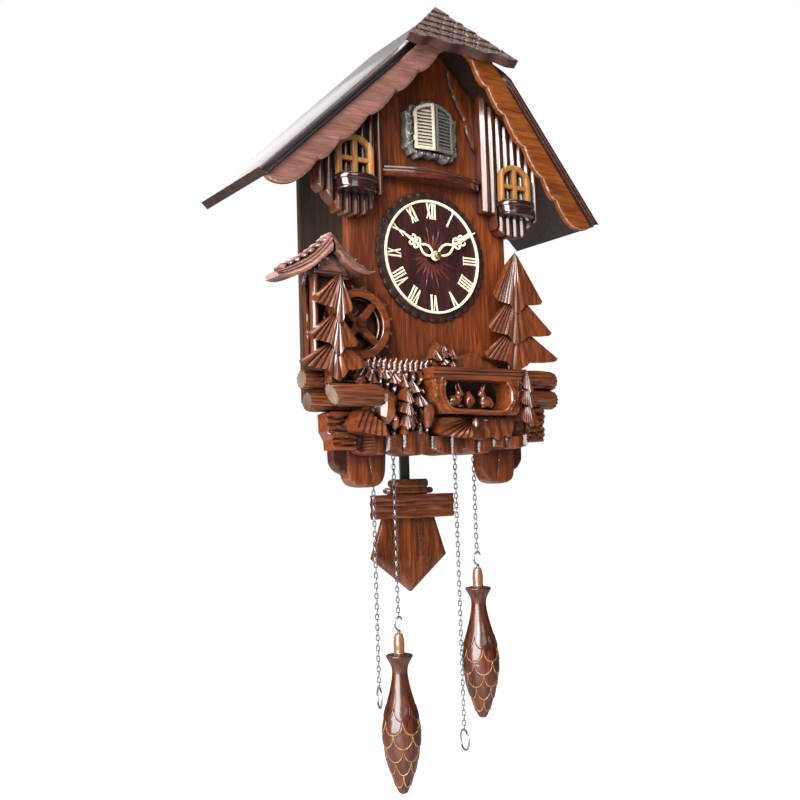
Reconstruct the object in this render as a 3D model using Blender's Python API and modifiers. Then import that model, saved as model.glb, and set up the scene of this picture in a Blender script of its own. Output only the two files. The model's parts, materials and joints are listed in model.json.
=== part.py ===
"""Chalet cuckoo clock: carved case, roof, dial, cuckoo door, mill wheel, pendulum, chains and weights.

All lengths here are millimetres in the face frame: x to the right, y into the case from the
front board's front face, z up from the hand arbor. An empty, "face_frame", carries every piece
to the model's own frame, whose origin is on the flat back, BACK_TO_FRONT behind the front board
and ARBOR_DROP above the hand arbor.
"""

import math

import bmesh
import bpy
from mathutils import Matrix, Vector

MM = 0.001
GAP = 0.3                      # clearance between pieces that touch
BACK_TO_FRONT = 86.0
ARBOR_DROP = 90.0

# Case
CASE_HALF = 84.0
CASE_BOTTOM = -121.5
FRONT_THICK = 9.0
SIDE_THICK = 8.0
BACK_THICK = 6.0
FLOOR_THICK = 8.0

# Roof: the outer top edge of each slope, in x and z
EAVE_X, EAVE_Z = 177.0, 47.0
RIDGE_Z = 214.3
ROOF_THICK = 8.0
ROOF_BACK = 83.0
EAVE_FRONT, GABLE_LEAN = -29.5, 28.0       # the front edge leans out by GABLE_LEAN up to the ridge
SLOPE = (RIDGE_Z - EAVE_Z) / EAVE_X
PITCH = math.atan(SLOPE)
ROOF_DROP = ROOF_THICK / math.cos(PITCH)   # the roof's thickness measured straight down
HIP_X = 57.0                               # where the half-hip cap meets the front edge
HIP_RIDGE_Y = -13.0

# Dial and hands
RING_OUTER, RING_WIDTH = 50.0, 2.2
DIAL_PLATE_R, DIAL_SCALLOPS = 56.5, 36
MINUTE_LENGTH, HOUR_LENGTH = 50.0, 40.0
MINUTE_ANGLE, HOUR_ANGLE = math.radians(60.0), math.radians(-62.0)

# Cuckoo door
DOOR_HALF, DOOR_LOW, DOOR_HIGH = 18.5, 92.0, 130.0
SHUTTER_AXIS_X, SHUTTER_AXIS_Y = 20.6, -10.6
SHUTTER_AJAR = math.radians(8.0)
SHUTTER_THICK = 1.8

# Mill
WHEEL_X, WHEEL_Z = -84.0, -66.0
WHEEL_RIM, WHEEL_INNER, WHEEL_BUCKET = 30.0, 21.0, 32.6

# Chains and weights
CHAIN_Y = 19.0
CHAIN_INNER, CHAIN_OUTER = 32.8, 53.8
CHAIN_R = 1.75
SPROCKET_Z = -50.0
STORED_TOP = 85.0              # top of the spare chain kept inside the case
WEIGHT_R = 18.8
LEFT_WEIGHT_TOP, RIGHT_WEIGHT_TOP = -320.5, -271.5
LEFT_RING_TOP, RIGHT_RING_TOP = -362.6, -410.4
PULL_RING_R = 8.5

# Pendulum
PIVOT_Y, PIVOT_Z = 50.0, -25.0


def clear_scene():
    for obj in list(bpy.data.objects):
        bpy.data.objects.remove(obj, do_unlink=True)


clear_scene()
bpy.context.scene.unit_settings.scale_length = 1.0

CLOCK = bpy.data.collections.new("cuckoo_clock")
CUTTERS = bpy.data.collections.new("cutters")
CUTTERS.hide_render = True
for collection in (CLOCK, CUTTERS):
    bpy.context.scene.collection.children.link(collection)

FACE = bpy.data.objects.new("face_frame", None)
FACE.location = (0.0, -BACK_TO_FRONT * MM, -ARBOR_DROP * MM)
CLOCK.objects.link(FACE)

FINISHES = {
    "varnished_wood": ((0.23, 0.06, 0.022), 0.28, 0.0),
    "dark_wood": ((0.07, 0.022, 0.014), 0.25, 0.0),
    "roof_wood": ((0.10, 0.045, 0.035), 0.35, 0.0),
    "case_wood": ((0.030, 0.022, 0.018), 0.45, 0.0),
    "light_wood": ((0.55, 0.27, 0.07), 0.35, 0.0),
    "plywood": ((0.45, 0.30, 0.17), 0.60, 0.0),
    "dial_wood": ((0.045, 0.012, 0.014), 0.35, 0.0),
    "cream": ((0.85, 0.78, 0.62), 0.40, 0.0),
    "pewter": ((0.33, 0.31, 0.29), 0.38, 0.8),
    "steel": ((0.60, 0.60, 0.62), 0.25, 1.0),
    "brass": ((0.75, 0.55, 0.25), 0.30, 1.0),
    "black_plastic": ((0.03, 0.03, 0.03), 0.45, 0.0),
}


def give_finish(obj, finish):
    """A Principled material of the piece's own, with its finish's colour, roughness and metal."""
    colour, roughness, metallic = FINISHES[finish]
    material = bpy.data.materials.new(f"{obj.name}_{finish}")
    material.use_nodes = True
    shader = material.node_tree.nodes["Principled BSDF"]
    shader.inputs["Base Color"].default_value = (*colour, 1.0)
    shader.inputs["Roughness"].default_value = roughness
    shader.inputs["Metallic"].default_value = metallic
    obj.data.materials.clear()
    obj.data.materials.append(material)


def place(obj, finish=None):
    """Puts a piece on the clock, or in the cutters when it has no finish."""
    obj.parent = FACE
    if finish is None:
        CUTTERS.objects.link(obj)
        obj.hide_render = True
        obj.display_type = "WIRE"
    else:
        CLOCK.objects.link(obj)
        give_finish(obj, finish)
    return obj


def mesh_object(name, bm, finish=None):
    bmesh.ops.recalc_face_normals(bm, faces=bm.faces)
    mesh = bpy.data.meshes.new(name)
    bm.to_mesh(mesh)
    bm.free()
    return place(bpy.data.objects.new(name, mesh), finish)


def box(name, x, y, z, finish=None):
    """A block between two limits on each axis."""
    bm = bmesh.new()
    bmesh.ops.create_cube(bm, size=1.0)
    for vert in bm.verts:
        for axis, (low, high) in enumerate((x, y, z)):
            vert.co[axis] = (low if vert.co[axis] < 0 else high) * MM
    return mesh_object(name, bm, finish)


def flat_curve(name, outlines, thick):
    """A filled 2D curve object of closed outlines: the first is the edge, the others are holes."""
    curve = bpy.data.curves.new(name, "CURVE")
    curve.dimensions = "2D"
    curve.fill_mode = "BOTH"
    curve.extrude = thick * MM / 2
    for outline in outlines:
        spline = curve.splines.new("POLY")
        spline.points.add(len(outline) - 1)
        for point, (u, v) in zip(spline.points, outline):
            point.co = (u * MM, v * MM, 0.0, 1.0)
        spline.use_cyclic_u = True
    return bpy.data.objects.new(name, curve)


def as_mesh(obj, name):
    """The mesh of a curve object, its caps welded to its walls."""
    bpy.context.scene.collection.objects.link(obj)
    graph = bpy.context.evaluated_depsgraph_get()
    mesh = bpy.data.meshes.new_from_object(obj.evaluated_get(graph))
    mesh.name = name
    bm = bmesh.new()
    bm.from_mesh(mesh)
    bmesh.ops.remove_doubles(bm, verts=bm.verts, dist=1e-6)
    bmesh.ops.recalc_face_normals(bm, faces=bm.faces)
    bm.to_mesh(mesh)
    bm.free()
    mesh.materials.clear()
    bpy.data.objects.remove(obj, do_unlink=True)
    return mesh


def plate(name, outlines, y, finish=None):
    """An upright board: outlines in x and z, with its faces at the two y limits."""
    mesh = as_mesh(flat_curve(name, outlines, y[1] - y[0]), name)
    upright = Matrix.Rotation(math.pi / 2, 4, "X")
    mesh.transform(Matrix.Translation((0, (y[0] + y[1]) / 2 * MM, 0)) @ upright)
    return place(bpy.data.objects.new(name, mesh), finish)


def shelf(name, outline, z, finish=None):
    """A level board: an outline in x and y, with its faces at the two z limits."""
    mesh = as_mesh(flat_curve(name, [outline], z[1] - z[0]), name)
    mesh.transform(Matrix.Translation((0, 0, (z[0] + z[1]) / 2 * MM)))
    return place(bpy.data.objects.new(name, mesh), finish)


def rod(name, start, axis, length, radius, finish=None, sides=16):
    """A cylinder from start along one axis, 0 for x, 1 for y or 2 for z."""
    bm = bmesh.new()
    bmesh.ops.create_cone(bm, cap_ends=True, segments=sides, radius1=radius * MM, radius2=radius * MM,
                          depth=length * MM)
    turns = (Matrix.Rotation(math.pi / 2, 4, "Y"), Matrix.Rotation(math.pi / 2, 4, "X"), Matrix.Identity(4))
    turn = turns[axis]
    centre = Vector(start)
    centre[axis] += length / 2
    bm.transform(Matrix.Translation(centre * MM) @ turn)
    return mesh_object(name, bm, finish)


def wire(name, points, radius, finish=None, closed=False):
    """A round wire along points."""
    curve = bpy.data.curves.new(name, "CURVE")
    curve.dimensions = "3D"
    curve.bevel_depth = radius * MM
    curve.bevel_resolution = 2
    curve.use_fill_caps = not closed
    spline = curve.splines.new("POLY")
    spline.points.add(len(points) - 1)
    for point, place_at in zip(spline.points, points):
        point.co = (*(Vector(place_at) * MM), 1.0)
    spline.use_cyclic_u = closed
    return place(bpy.data.objects.new(name, as_mesh(bpy.data.objects.new(name, curve), name)), finish)


def turned(name, profile, centre, finish=None, steps=20):
    """A turned piece about the vertical through centre. The profile runs from the top axis point down."""
    mesh = bpy.data.meshes.new(name)
    edges = [(i, i + 1) for i in range(len(profile) - 1)]
    mesh.from_pydata([(r * MM, 0, z * MM) for r, z in profile], edges, [])
    obj = bpy.data.objects.new(name, mesh)
    screw = obj.modifiers.new("turn", "SCREW")
    screw.axis = "Z"
    screw.steps = screw.render_steps = steps
    screw.use_merge_vertices = True
    screw.merge_threshold = 1e-5
    screw.use_normal_calculate = True
    obj.location = Vector(centre) * MM
    return place(obj, finish)


def boolean(obj, other, operation):
    modifier = obj.modifiers.new(other.name, "BOOLEAN")
    modifier.operation = operation
    modifier.solver = "EXACT"
    modifier.object = other
    return obj


def cut(obj, cutter):
    return boolean(obj, cutter, "DIFFERENCE")


def join(obj, other):
    return boolean(obj, other, "UNION")


def set_pivot(obj, pivot):
    """Moves the piece's origin to its joint's axis and leaves its shape in place."""
    offset = Vector(pivot) * MM - obj.location
    obj.data.transform(Matrix.Translation(-offset))
    obj.location += offset
    return obj


def circle(radius, sides, x=0.0, z=0.0, phase=0.0):
    return [(x + radius * math.cos(phase + 2 * math.pi * i / sides),
             z + radius * math.sin(phase + 2 * math.pi * i / sides)) for i in range(sides)]


def rectangle(x, z):
    return [(x[0], z[0]), (x[1], z[0]), (x[1], z[1]), (x[0], z[1])]


def mirrored(outline, side):
    return [(side * u, v) for u, v in outline]


def under_roof(x, clearance=0.9):
    return RIDGE_Z - ROOF_DROP - SLOPE * abs(x) - clearance


def roof_front(x):
    """Where the roof's front edge stands: it leans out towards the ridge and is cut back along the hip."""
    x = abs(x)
    on_gable = EAVE_FRONT - GABLE_LEAN * (1 - x / EAVE_X)
    if x >= HIP_X:
        return on_gable
    at_hip = EAVE_FRONT - GABLE_LEAN * (1 - HIP_X / EAVE_X)
    return HIP_RIDGE_Y + (at_hip - HIP_RIDGE_Y) * x / HIP_X


def shear_y(obj, shift):
    """Moves each point of a flat piece along y by shift(x, y, z)."""
    for vert in obj.data.vertices:
        x, y, z = (value / MM for value in vert.co)
        vert.co.y += shift(x, y, z) * MM
    return obj


# ---------------------------------------------------------------------------------- case
def gable_outline():
    low = CASE_BOTTOM
    return [(-CASE_HALF, low), (CASE_HALF, low), (CASE_HALF, under_roof(CASE_HALF)), (0, under_roof(0)),
            (-CASE_HALF, under_roof(CASE_HALF))]


def build_case():
    opening = rectangle((-DOOR_HALF, DOOR_HALF), (DOOR_LOW, DOOR_HIGH))
    outlines = [gable_outline(), opening, circle(4.0, 16)]
    front = plate("front_board", outlines, (0, FRONT_THICK), "varnished_wood")
    sprocket_x = (CHAIN_INNER + CHAIN_OUTER) / 2
    for side in (-1, 1):
        start = (side * sprocket_x, FRONT_THICK - 2, SPROCKET_Z)
        join(front, rod(f"sprocket_stud_{side}", start, 1, 16.0, 1.5))
    inner_y = (FRONT_THICK + GAP, BACK_TO_FRONT - BACK_THICK - GAP)
    for name, side in (("left_side", -1), ("right_side", 1)):
        inner = CASE_HALF - SIDE_THICK
        outline = [(CASE_HALF, CASE_BOTTOM), (CASE_HALF, under_roof(CASE_HALF)), (inner, under_roof(inner)),
                   (inner, CASE_BOTTOM)]
        plate(name, [mirrored(outline, side)], inner_y, "case_wood")
    floor_half = CASE_HALF - SIDE_THICK - GAP
    floor = box("floor_board", (-floor_half, floor_half), inner_y, (CASE_BOTTOM, CASE_BOTTOM + FLOOR_THICK),
                "plywood")
    through = (CASE_BOTTOM - 2, CASE_BOTTOM + FLOOR_THICK + 2)
    cut(floor, box("pendulum_slot", (-16, 16), (44, 58), through))
    for number, x in enumerate((-CHAIN_OUTER, -CHAIN_INNER, CHAIN_INNER, CHAIN_OUTER)):
        start = (x, CHAIN_Y, through[0])
        cut(floor, rod(f"chain_hole_{number}", start, 2, through[1] - through[0], 3.5, sides=12))
    build_back()


def build_back():
    """The back panel, the hinged door in it and the steel keyhole plate that the clock hangs on."""
    door_x, door_z = (-50, 50), (-95, 65)
    openings = [rectangle(door_x, door_z), rectangle((-7, 7), (105, 131))]
    panel_y = (BACK_TO_FRONT - BACK_THICK, BACK_TO_FRONT)
    panel = plate("back_panel", [gable_outline()] + openings, panel_y, "plywood")
    cut(panel, box("hanger_recess", (-14.3, 14.3), (BACK_TO_FRONT - 1.7, BACK_TO_FRONT + 1), (99.7, 140.3)))
    hinge_x = door_x[0] + GAP
    door = box("rear_door", (door_x[0] + 2 * GAP, door_x[1] - 2 * GAP),
               (BACK_TO_FRONT - 5.5, BACK_TO_FRONT - 0.5), (door_z[0] + 2 * GAP, door_z[1] - 2 * GAP),
               "plywood")
    set_pivot(door, (hinge_x, BACK_TO_FRONT, 0))
    for low in (-60, -42, 18, 36):
        cut(door, box(f"door_vent_{low}", (-20, 20), (70, 90), (low, low + 5)))
    keyhole = [(4.5 * math.cos(a), 112 + 4.5 * math.sin(a)) for a in
               (math.radians(120 + 300 * i / 12) for i in range(13))]
    keyhole += [(2.25 * math.cos(a), 126 + 2.25 * math.sin(a)) for a in
                (math.radians(180 * i / 6) for i in range(7))]
    plate("wall_hanger", [rectangle((-14, 14), (100, 140)), keyhole],
          (BACK_TO_FRONT - 1.4, BACK_TO_FRONT - 0.1), "steel")


# ---------------------------------------------------------------------------------- roof
def build_roof():
    for name, side in (("left_roof", -1), ("right_roof", 1)):
        tip_x, tip_z = EAVE_X - ROOF_THICK * math.sin(PITCH), EAVE_Z - ROOF_THICK * math.cos(PITCH)
        hip_z = RIDGE_Z - SLOPE * HIP_X
        outline = [(GAP, RIDGE_Z - SLOPE * GAP), (HIP_X, hip_z), (EAVE_X, EAVE_Z), (tip_x, tip_z),
                   (HIP_X, hip_z - ROOF_DROP), (GAP, RIDGE_Z - SLOPE * GAP - ROOF_DROP)]
        board = plate(name, [mirrored(outline, side)], (EAVE_FRONT, ROOF_BACK), "roof_wood")
        shear_y(board, lambda x, y, z: roof_front(x) - EAVE_FRONT if y < 0 else 0)
    build_cap()
    for name, side in (("left_fascia", -1), ("right_fascia", 1)):
        build_fascia(name, side)


def build_cap():
    """The shingled half-hip: a triangular slab that slopes out from the ridge over the gable's peak."""
    apex, corner = Vector((0, -20, 219)), Vector((57.1, -60.8, 167))
    rise = math.hypot(apex.y - corner.y, apex.z - corner.z)
    thick = 8.0
    lobes = [(-corner.x, 0.0), (-45, -2.0), (-33, 1.5), (-18, -2.0), (-3, 3.0)]
    lobes += [(3, 3.0), (18, -2.0), (33, 1.5), (45, -2.0), (corner.x, 0.0), (0, rise)]
    mesh = as_mesh(flat_curve("roof_cap", [lobes], thick), "roof_cap")
    tilt = math.atan2(apex.z - corner.z, apex.y - corner.y)
    frame = Matrix.Translation(Vector((0, corner.y, corner.z)) * MM) @ Matrix.Rotation(tilt, 4, "X")
    mesh.transform(frame @ Matrix.Translation((0, 0, -thick / 2 * MM)))
    place(bpy.data.objects.new("roof_cap", mesh), "roof_wood")


def build_fascia(name, side):
    """A barge board with a rounded foot and five lobes along its lower edge, leaning out with the gable."""
    board_y, board_thick, lean = -26.5, 5.0, 0.18
    cap_limit = 168.0

    def below(x, depth):
        return RIDGE_Z - SLOPE * x - depth / math.cos(PITCH)

    cusps = [17.0, 36.0, 57.4, 82.0, 107.0, 125.5]
    outline = [(1.0, cap_limit), ((RIDGE_Z - ROOF_DROP - 0.5 - cap_limit) / SLOPE, cap_limit)]
    outline += [(170.5, below(170.5, ROOF_THICK + 0.4)), (166, 38.7), (158, 37.6), (150, 38.7), (143, 41.8),
                (137, 46.5), (132, 51.5), (128, 57), (cusps[-1], below(cusps[-1], 25.5))]
    for high, low in zip(cusps[::-1], cusps[-2::-1]):
        for step in range(1, 6):
            x = high + (low - high) * step / 5
            bulge = 3.2 * math.sin(math.pi * step / 5)
            outline.append((x, below(x, 25.5 + bulge)))
    outline.append((1.0, below(1.0, 30.0)))
    board = plate(name, [outline], (board_y, board_y + board_thick), "varnished_wood")
    shear_y(board, lambda x, y, z: -lean * (z - EAVE_Z))
    if side < 0:
        board.data.transform(Matrix.Diagonal((-1, 1, 1, 1)))
        board.data.flip_normals()


# ---------------------------------------------------------------------------------- facade
def build_facade():
    panel = [(53.2, under_roof(53.2)), (118.7, under_roof(118.7)), (118.7, 45), (107.5, 38.5), (101, 27),
             (95, 25.5), (79, 24.5), (70, 30), (67, 36), (66, 44), (53.2, 44)]
    centre = 85.1
    half, low, spring, top = 17.5, 55.3, 78.0, 90.3
    arch = [(centre + half * math.cos(math.pi * i / 8), spring + (top - spring) * math.sin(math.pi * i / 8))
            for i in range(9)]
    frame = [(centre - half, low), (centre + half, low)] + arch
    panes = [rectangle((centre - 12.5, centre - 3), (57.5, 66)),
             rectangle((centre + 3, centre + 12.5), (57.5, 66)),
             [(centre - 12.5, 71), (centre - 3, 71), (centre - 3, 86), (centre - 12.5, 80)],
             [(centre + 3, 71), (centre + 12.5, 71), (centre + 12.5, 80), (centre + 3, 86)]]
    trough = [(centre - 19, -13 - GAP), (centre + 19, -13 - GAP)]
    turns = [math.pi * i / 10 for i in range(11)]
    trough += [(centre + 19 * math.cos(a), -18 - 12 * math.sin(a)) for a in turns]
    for word, side in (("left", -1), ("right", 1)):
        plate(f"{word}_rib_panel", [mirrored(panel, side)], (-13, -GAP), "dark_wood")
        outlines = [mirrored(outline, side) for outline in [frame] + panes]
        plate(f"{word}_window", outlines, (-18.5, -13 - GAP), "light_wood")
        shelf(f"{word}_flower_box", mirrored(trough, side), (42, 55), "dark_wood")
    bow = [(51, -GAP), (-51, -GAP)]
    bow += [(-51 + 102 * i / 12, -8 - 12 * math.sin(math.pi * i / 12)) for i in range(13)]
    shelf("balcony", bow, (64.5, 72.8), "varnished_wood")


# ---------------------------------------------------------------------------------- dial and hands
def hand_outline(length, widths):
    """A hand that points up z, from its hub: widths are half-widths at fractions of the length."""
    right = [(w, f * length) for f, w in widths]
    return right + [(-w, v) for w, v in reversed(right) if w > 0.01]


def turned_outline(outline, angle):
    """The outline turned clockwise, as seen from the front."""
    c, s = math.cos(angle), math.sin(angle)
    return [(u * c + v * s, -u * s + v * c) for u, v in outline]


def build_dial():
    scallops = [((DIAL_PLATE_R + (0.8 if i % 2 else -0.8)) * math.cos(math.pi * i / DIAL_SCALLOPS),
                 (DIAL_PLATE_R + (0.8 if i % 2 else -0.8)) * math.sin(math.pi * i / DIAL_SCALLOPS))
                for i in range(2 * DIAL_SCALLOPS)]
    plate("dial_plate", [scallops, circle(4.0, 16)], (-3, -GAP), "dial_wood")
    ring = [circle(RING_OUTER, 48), circle(RING_OUTER - RING_WIDTH, 48)]
    plate("chapter_ring", ring, (-5, -3.3), "cream")
    hub = 4.2
    shape = [(0.07, 2.6), (0.18, 5.0), (0.36, 4.0), (0.50, 1.6), (0.58, 4.5), (0.64, 4.8), (0.72, 1.5),
             (1.0, 0.0)]
    for name, length, angle, y in (("hour_hand", HOUR_LENGTH, HOUR_ANGLE, (-7.2, -6.4)),
                                   ("minute_hand", MINUTE_LENGTH, MINUTE_ANGLE, (-9.0, -8.2))):
        outline = hand_outline(length, shape)
        outline += [(hub * math.cos(a), hub * math.sin(a)) for a in
                    (math.radians(140 + 260 * i / 10) for i in range(11))]
        hole = circle(2.4, 12)
        piece = plate(name, [turned_outline(outline, angle), hole], y, "cream")
        set_pivot(piece, (0, y[0], 0))
    set_pivot(rod("hand_nut", (0, -12.6, 0), 1, 3.3, 3.2, "brass", sides=12), (0, -9.3, 0))


# ---------------------------------------------------------------------------------- cuckoo door
def build_cuckoo_door():
    edge = [(-27.9, 93), (-22, 87), (-16, 84.5), (-8, 88), (8, 88), (16, 84.5), (22, 87), (27.9, 93),
            (27.9, 124), (23, 129), (17, 131), (9, 136), (0, 138.5), (-9, 136), (-17, 131), (-23, 129),
            (-27.9, 124)]
    plate("shutter_plaque", [edge, rectangle((-DOOR_HALF, DOOR_HALF), (DOOR_LOW, DOOR_HIGH - 4))],
          (-9.4, -GAP), "pewter")
    leaf = [(0.4, 91.5), (20.3, 91.5), (20.3, 126), (14, 130), (7, 132.5), (0.4, 133.5)]
    for name, side in (("left_shutter", -1), ("right_shutter", 1)):
        y = (SHUTTER_AXIS_Y - SHUTTER_THICK / 2, SHUTTER_AXIS_Y + SHUTTER_THICK / 2)
        panel = plate(name, [mirrored(leaf, side)], y, "pewter")
        set_pivot(panel, (side * SHUTTER_AXIS_X, SHUTTER_AXIS_Y, 112))
        panel.rotation_euler.z = side * SHUTTER_AJAR


def build_bird():
    """The cuckoo on its sliding carriage, drawn back behind the shutters."""
    bm = bmesh.new()
    bmesh.ops.create_uvsphere(bm, u_segments=12, v_segments=8, radius=1.0)
    half_size = Matrix.Diagonal((7 * MM, 14 * MM, 8 * MM, 1))
    bm.transform(Matrix.Translation(Vector((0, 32, 110)) * MM) @ half_size)
    bird = mesh_object("bird", bm, "light_wood")
    bm = bmesh.new()
    bmesh.ops.create_uvsphere(bm, u_segments=12, v_segments=8, radius=6.0 * MM)
    bm.transform(Matrix.Translation(Vector((0, 22, 118)) * MM))
    join(bird, mesh_object("bird_head", bm))
    bm = bmesh.new()
    bmesh.ops.create_cone(bm, cap_ends=True, segments=8, radius1=2.0 * MM, radius2=0.3 * MM, depth=8 * MM)
    bm.transform(Matrix.Translation(Vector((0.2, 14.5, 118.3)) * MM) @ Matrix.Rotation(math.pi / 2, 4, "X"))
    join(bird, mesh_object("bird_beak", bm))
    join(bird, box("bird_foot", (-1.5, 1.5), (28, 34), (100.0, 105)))
    carriage = box("bird_carriage", (-6, 6), (24, 64), (95.6, 99.7), "black_plastic")
    for piece in (bird, carriage):
        set_pivot(piece, (0, 0, 99.7))


# ---------------------------------------------------------------------------------- inside
def build_movement():
    """The quartz movement with its hand shaft, battery bay, bird rail and pendulum pin."""
    body = box("movement", (-30, 30), (12, 48), (-42, 30), "black_plastic")
    join(body, rod("hand_shaft", (0, -8.9, 0), 1, 22.0, 2.0, sides=12))
    join(body, rod("shaft_boss", (0, 9.3, 0), 1, 4.0, 8.0))
    join(body, box("rail_tower", (-8, 8), (38, 62), (29, 90)))
    join(body, box("bird_rail", (-4, 4), (13, 70), (88, 95.3)))
    join(body, rod("pendulum_pin", (0, 46, PIVOT_Z), 1, 8.0, 1.5, sides=12))
    cut(body, box("battery_bay", (-27, 27), (31, 60), (8.5, 25.5)))
    cut(body, rod("knob_seat", (20, 47, -4), 1, 3.0, 2.2, sides=12))
    knob = rod("setting_knob", (20, 48.4, -4), 1, 6.0, 6.0, "black_plastic", sides=16)
    set_pivot(knob, (20, 48.4, -4))


# ---------------------------------------------------------------------------------- mill and trees
def spruce(centre, apex, foot, tiers, trunk):
    """A tree's outline: each tier is its tips' half-width and height, from the top down."""
    right = [(1.2, apex)]
    for number, (half, z) in enumerate(tiers):
        inner = half * 0.42
        right += [(half * 0.45, z + 0.52 * (right[-1][1] - z)), (half, z)]
        right.append((inner, z - 4.0) if number < len(tiers) - 1 else (trunk, z - 5.0))
    right.append((trunk * 0.9, foot))
    return [(centre + u, v) for u, v in right] + [(centre - u, v) for u, v in reversed(right)]


def build_mill():
    backing = [(-127, -97.7), (-127, -28.3), (-85, -28.3), (-75, -32), (-58, -38), (-48, -48)]
    backing += [(-44, -65), (-42, -85), (-44, -97.7)]
    plate("scene_backing", [backing], (-6.3, -GAP), "varnished_wood")
    box("mill_post", (-127, -120.5), (-16, -6.6), (-99.4, -28.3), "varnished_wood")
    roof = [(-115, 6), (-126, -6), (-140, -17), (-155, -26), (-169, -31), (-165, -35), (-154, -36)]
    roof += [(-142, -33), (-132, -27.7), (-92, -27.7), (-84, -27.5), (-75, -22.5), (-86, -15), (-98, -8)]
    roof.append((-107, 0))
    plate("mill_roof", [roof], (-30, -GAP), "varnished_wood")
    axle = rod("mill_axle", (WHEEL_X, -19.5, WHEEL_Z), 1, 12.9, 1.6, "steel", sides=12)
    join(axle, rod("axle_head", (WHEEL_X, -19.5, WHEEL_Z), 1, 2.3, 3.4, sides=12))
    buckets = 16
    rim = []
    for number in range(buckets):
        for fraction, radius in ((0, WHEEL_RIM), (0.3, WHEEL_BUCKET), (0.55, WHEEL_BUCKET), (0.7, WHEEL_RIM)):
            angle = 2 * math.pi * (number + fraction) / buckets
            rim.append((WHEEL_X + radius * math.cos(angle), WHEEL_Z + radius * math.sin(angle)))
    holes = [circle(1.9, 12, WHEEL_X, WHEEL_Z)]
    for quarter in range(4):
        start = math.pi / 2 * quarter - math.pi / 4
        arc = [start + math.radians(10 + 70 * i / 6) for i in range(7)]
        sector = [(WHEEL_X + WHEEL_INNER * math.cos(a), WHEEL_Z + WHEEL_INNER * math.sin(a)) for a in arc]
        middle = start + math.pi / 4
        sector.append((WHEEL_X + 6 * math.cos(middle), WHEEL_Z + 6 * math.sin(middle)))
        holes.append(sector)
    wheel = plate("mill_wheel", [rim] + holes, (-16.5, -8.5), "varnished_wood")
    set_pivot(wheel, (WHEEL_X, -12.5, WHEEL_Z))


def build_trees():
    left = spruce(-114.5, -30.5, -116, [(19, -52), (22, -74), (28, -99)], 6)
    right = spruce(84, 10, -100, [(28.5, -33), (37.5, -61.5), (43.5, -85)], 5.5)
    centre = spruce(-58, -118, -156, [(6, -129), (7.5, -139), (9, -149)], 2.5)
    small = spruce(66, -100, -152, [(6, -115), (7.5, -129), (9, -144)], 2.5)
    plate("left_tree", [left], (-34, -17.3), "varnished_wood")
    plate("right_tree", [right], (-20, -8.3), "varnished_wood")
    plate("centre_tree", [centre], (-45, -30.3), "varnished_wood")
    plate("small_right_tree", [small], (-48, -42.3), "varnished_wood")


# ---------------------------------------------------------------------------------- carved base
def build_base():
    lobes = [(-90, -165), (-84, -170.4), (-72, -172), (-62, -167), (-50, -171.6), (-36, -172.4),
             (-28, -166.6), (-16, -171.2), (-2, -172.2), (8, -167.6), (20, -171.9), (34, -170.8),
             (44, -166), (60, -168), (78, -165.6), (90, -160)]
    skyline = [(90, -98), (62, -96), (50, -90), (20, -88), (13, -82), (8, -76), (-2, -75), (-8, -84)]
    skyline += [(-12, -98), (-90, -98)]
    base = plate("base_carving", [lobes + skyline], (-8, -GAP), "varnished_wood")
    mass = [(x, z + 1.3) for x, z in lobes[1:-1]]
    mass += [(77, -140.3), (-31.5, -140.3), (-33, -112), (-48, -104), (-79.4, -106), (-79.4, -150)]
    join(base, plate("rock_mass", [mass], (-30, -6)))
    join(base, box("left_plank_fan", (-106, -72), (-40, -17.3), (-159, -135.5)))
    join(base, box("right_plank_fan", (-25, 12), (-40, -17.3), (-160, -141)))
    left = [(-135, -99.7), (-135, -120), (-130, -120), (-130, -136.7), (-112, -136.7)]
    left += [(-110, -168), (-90.3, -168), (-90.3, -99.7)]
    plate("left_logs", [left], (-16.9, -GAP), "varnished_wood")
    right = [(128, -96.5), (128, -130.5), (109, -130.5), (109, -161), (90.3, -161), (90.3, -96.5)]
    plate("right_logs", [right], (-16.9, -GAP), "varnished_wood")
    rod("front_log", (-124, -36, -126), 0, 43.7, 8.7, "varnished_wood", sides=16)
    shell = [(-29, -139.7), (62, -139.7), (62, -106.2), (68, -106.2), (68, -100), (-31, -100)]
    shell += [(-31, -106.8), (-29, -106.8)]
    window = [(-19, -135.7), (44, -135.7), (50, -130), (50, -118), (44, -112), (-13, -112), (-19, -118)]
    plate("hollow_log", [shell, window], (-42, -20.3), "varnished_wood")
    for name, x, turn in (("rabbit_left", -4.0, 1), ("rabbit_right", 29.0, -1)):
        build_rabbit(name, x, turn)
    for name, side in (("left_leg", -1), ("right_leg", 1)):
        leg = [(50, -122), (100, -122), (100, -178), (95, -184), (88, -186), (86.5, -193), (81, -197.5)]
        leg += [(59, -197.5), (53.5, -193), (52.5, -186), (50, -160)]
        plate(name, [mirrored(leg, side)], (GAP, 15), "varnished_wood")


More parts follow.
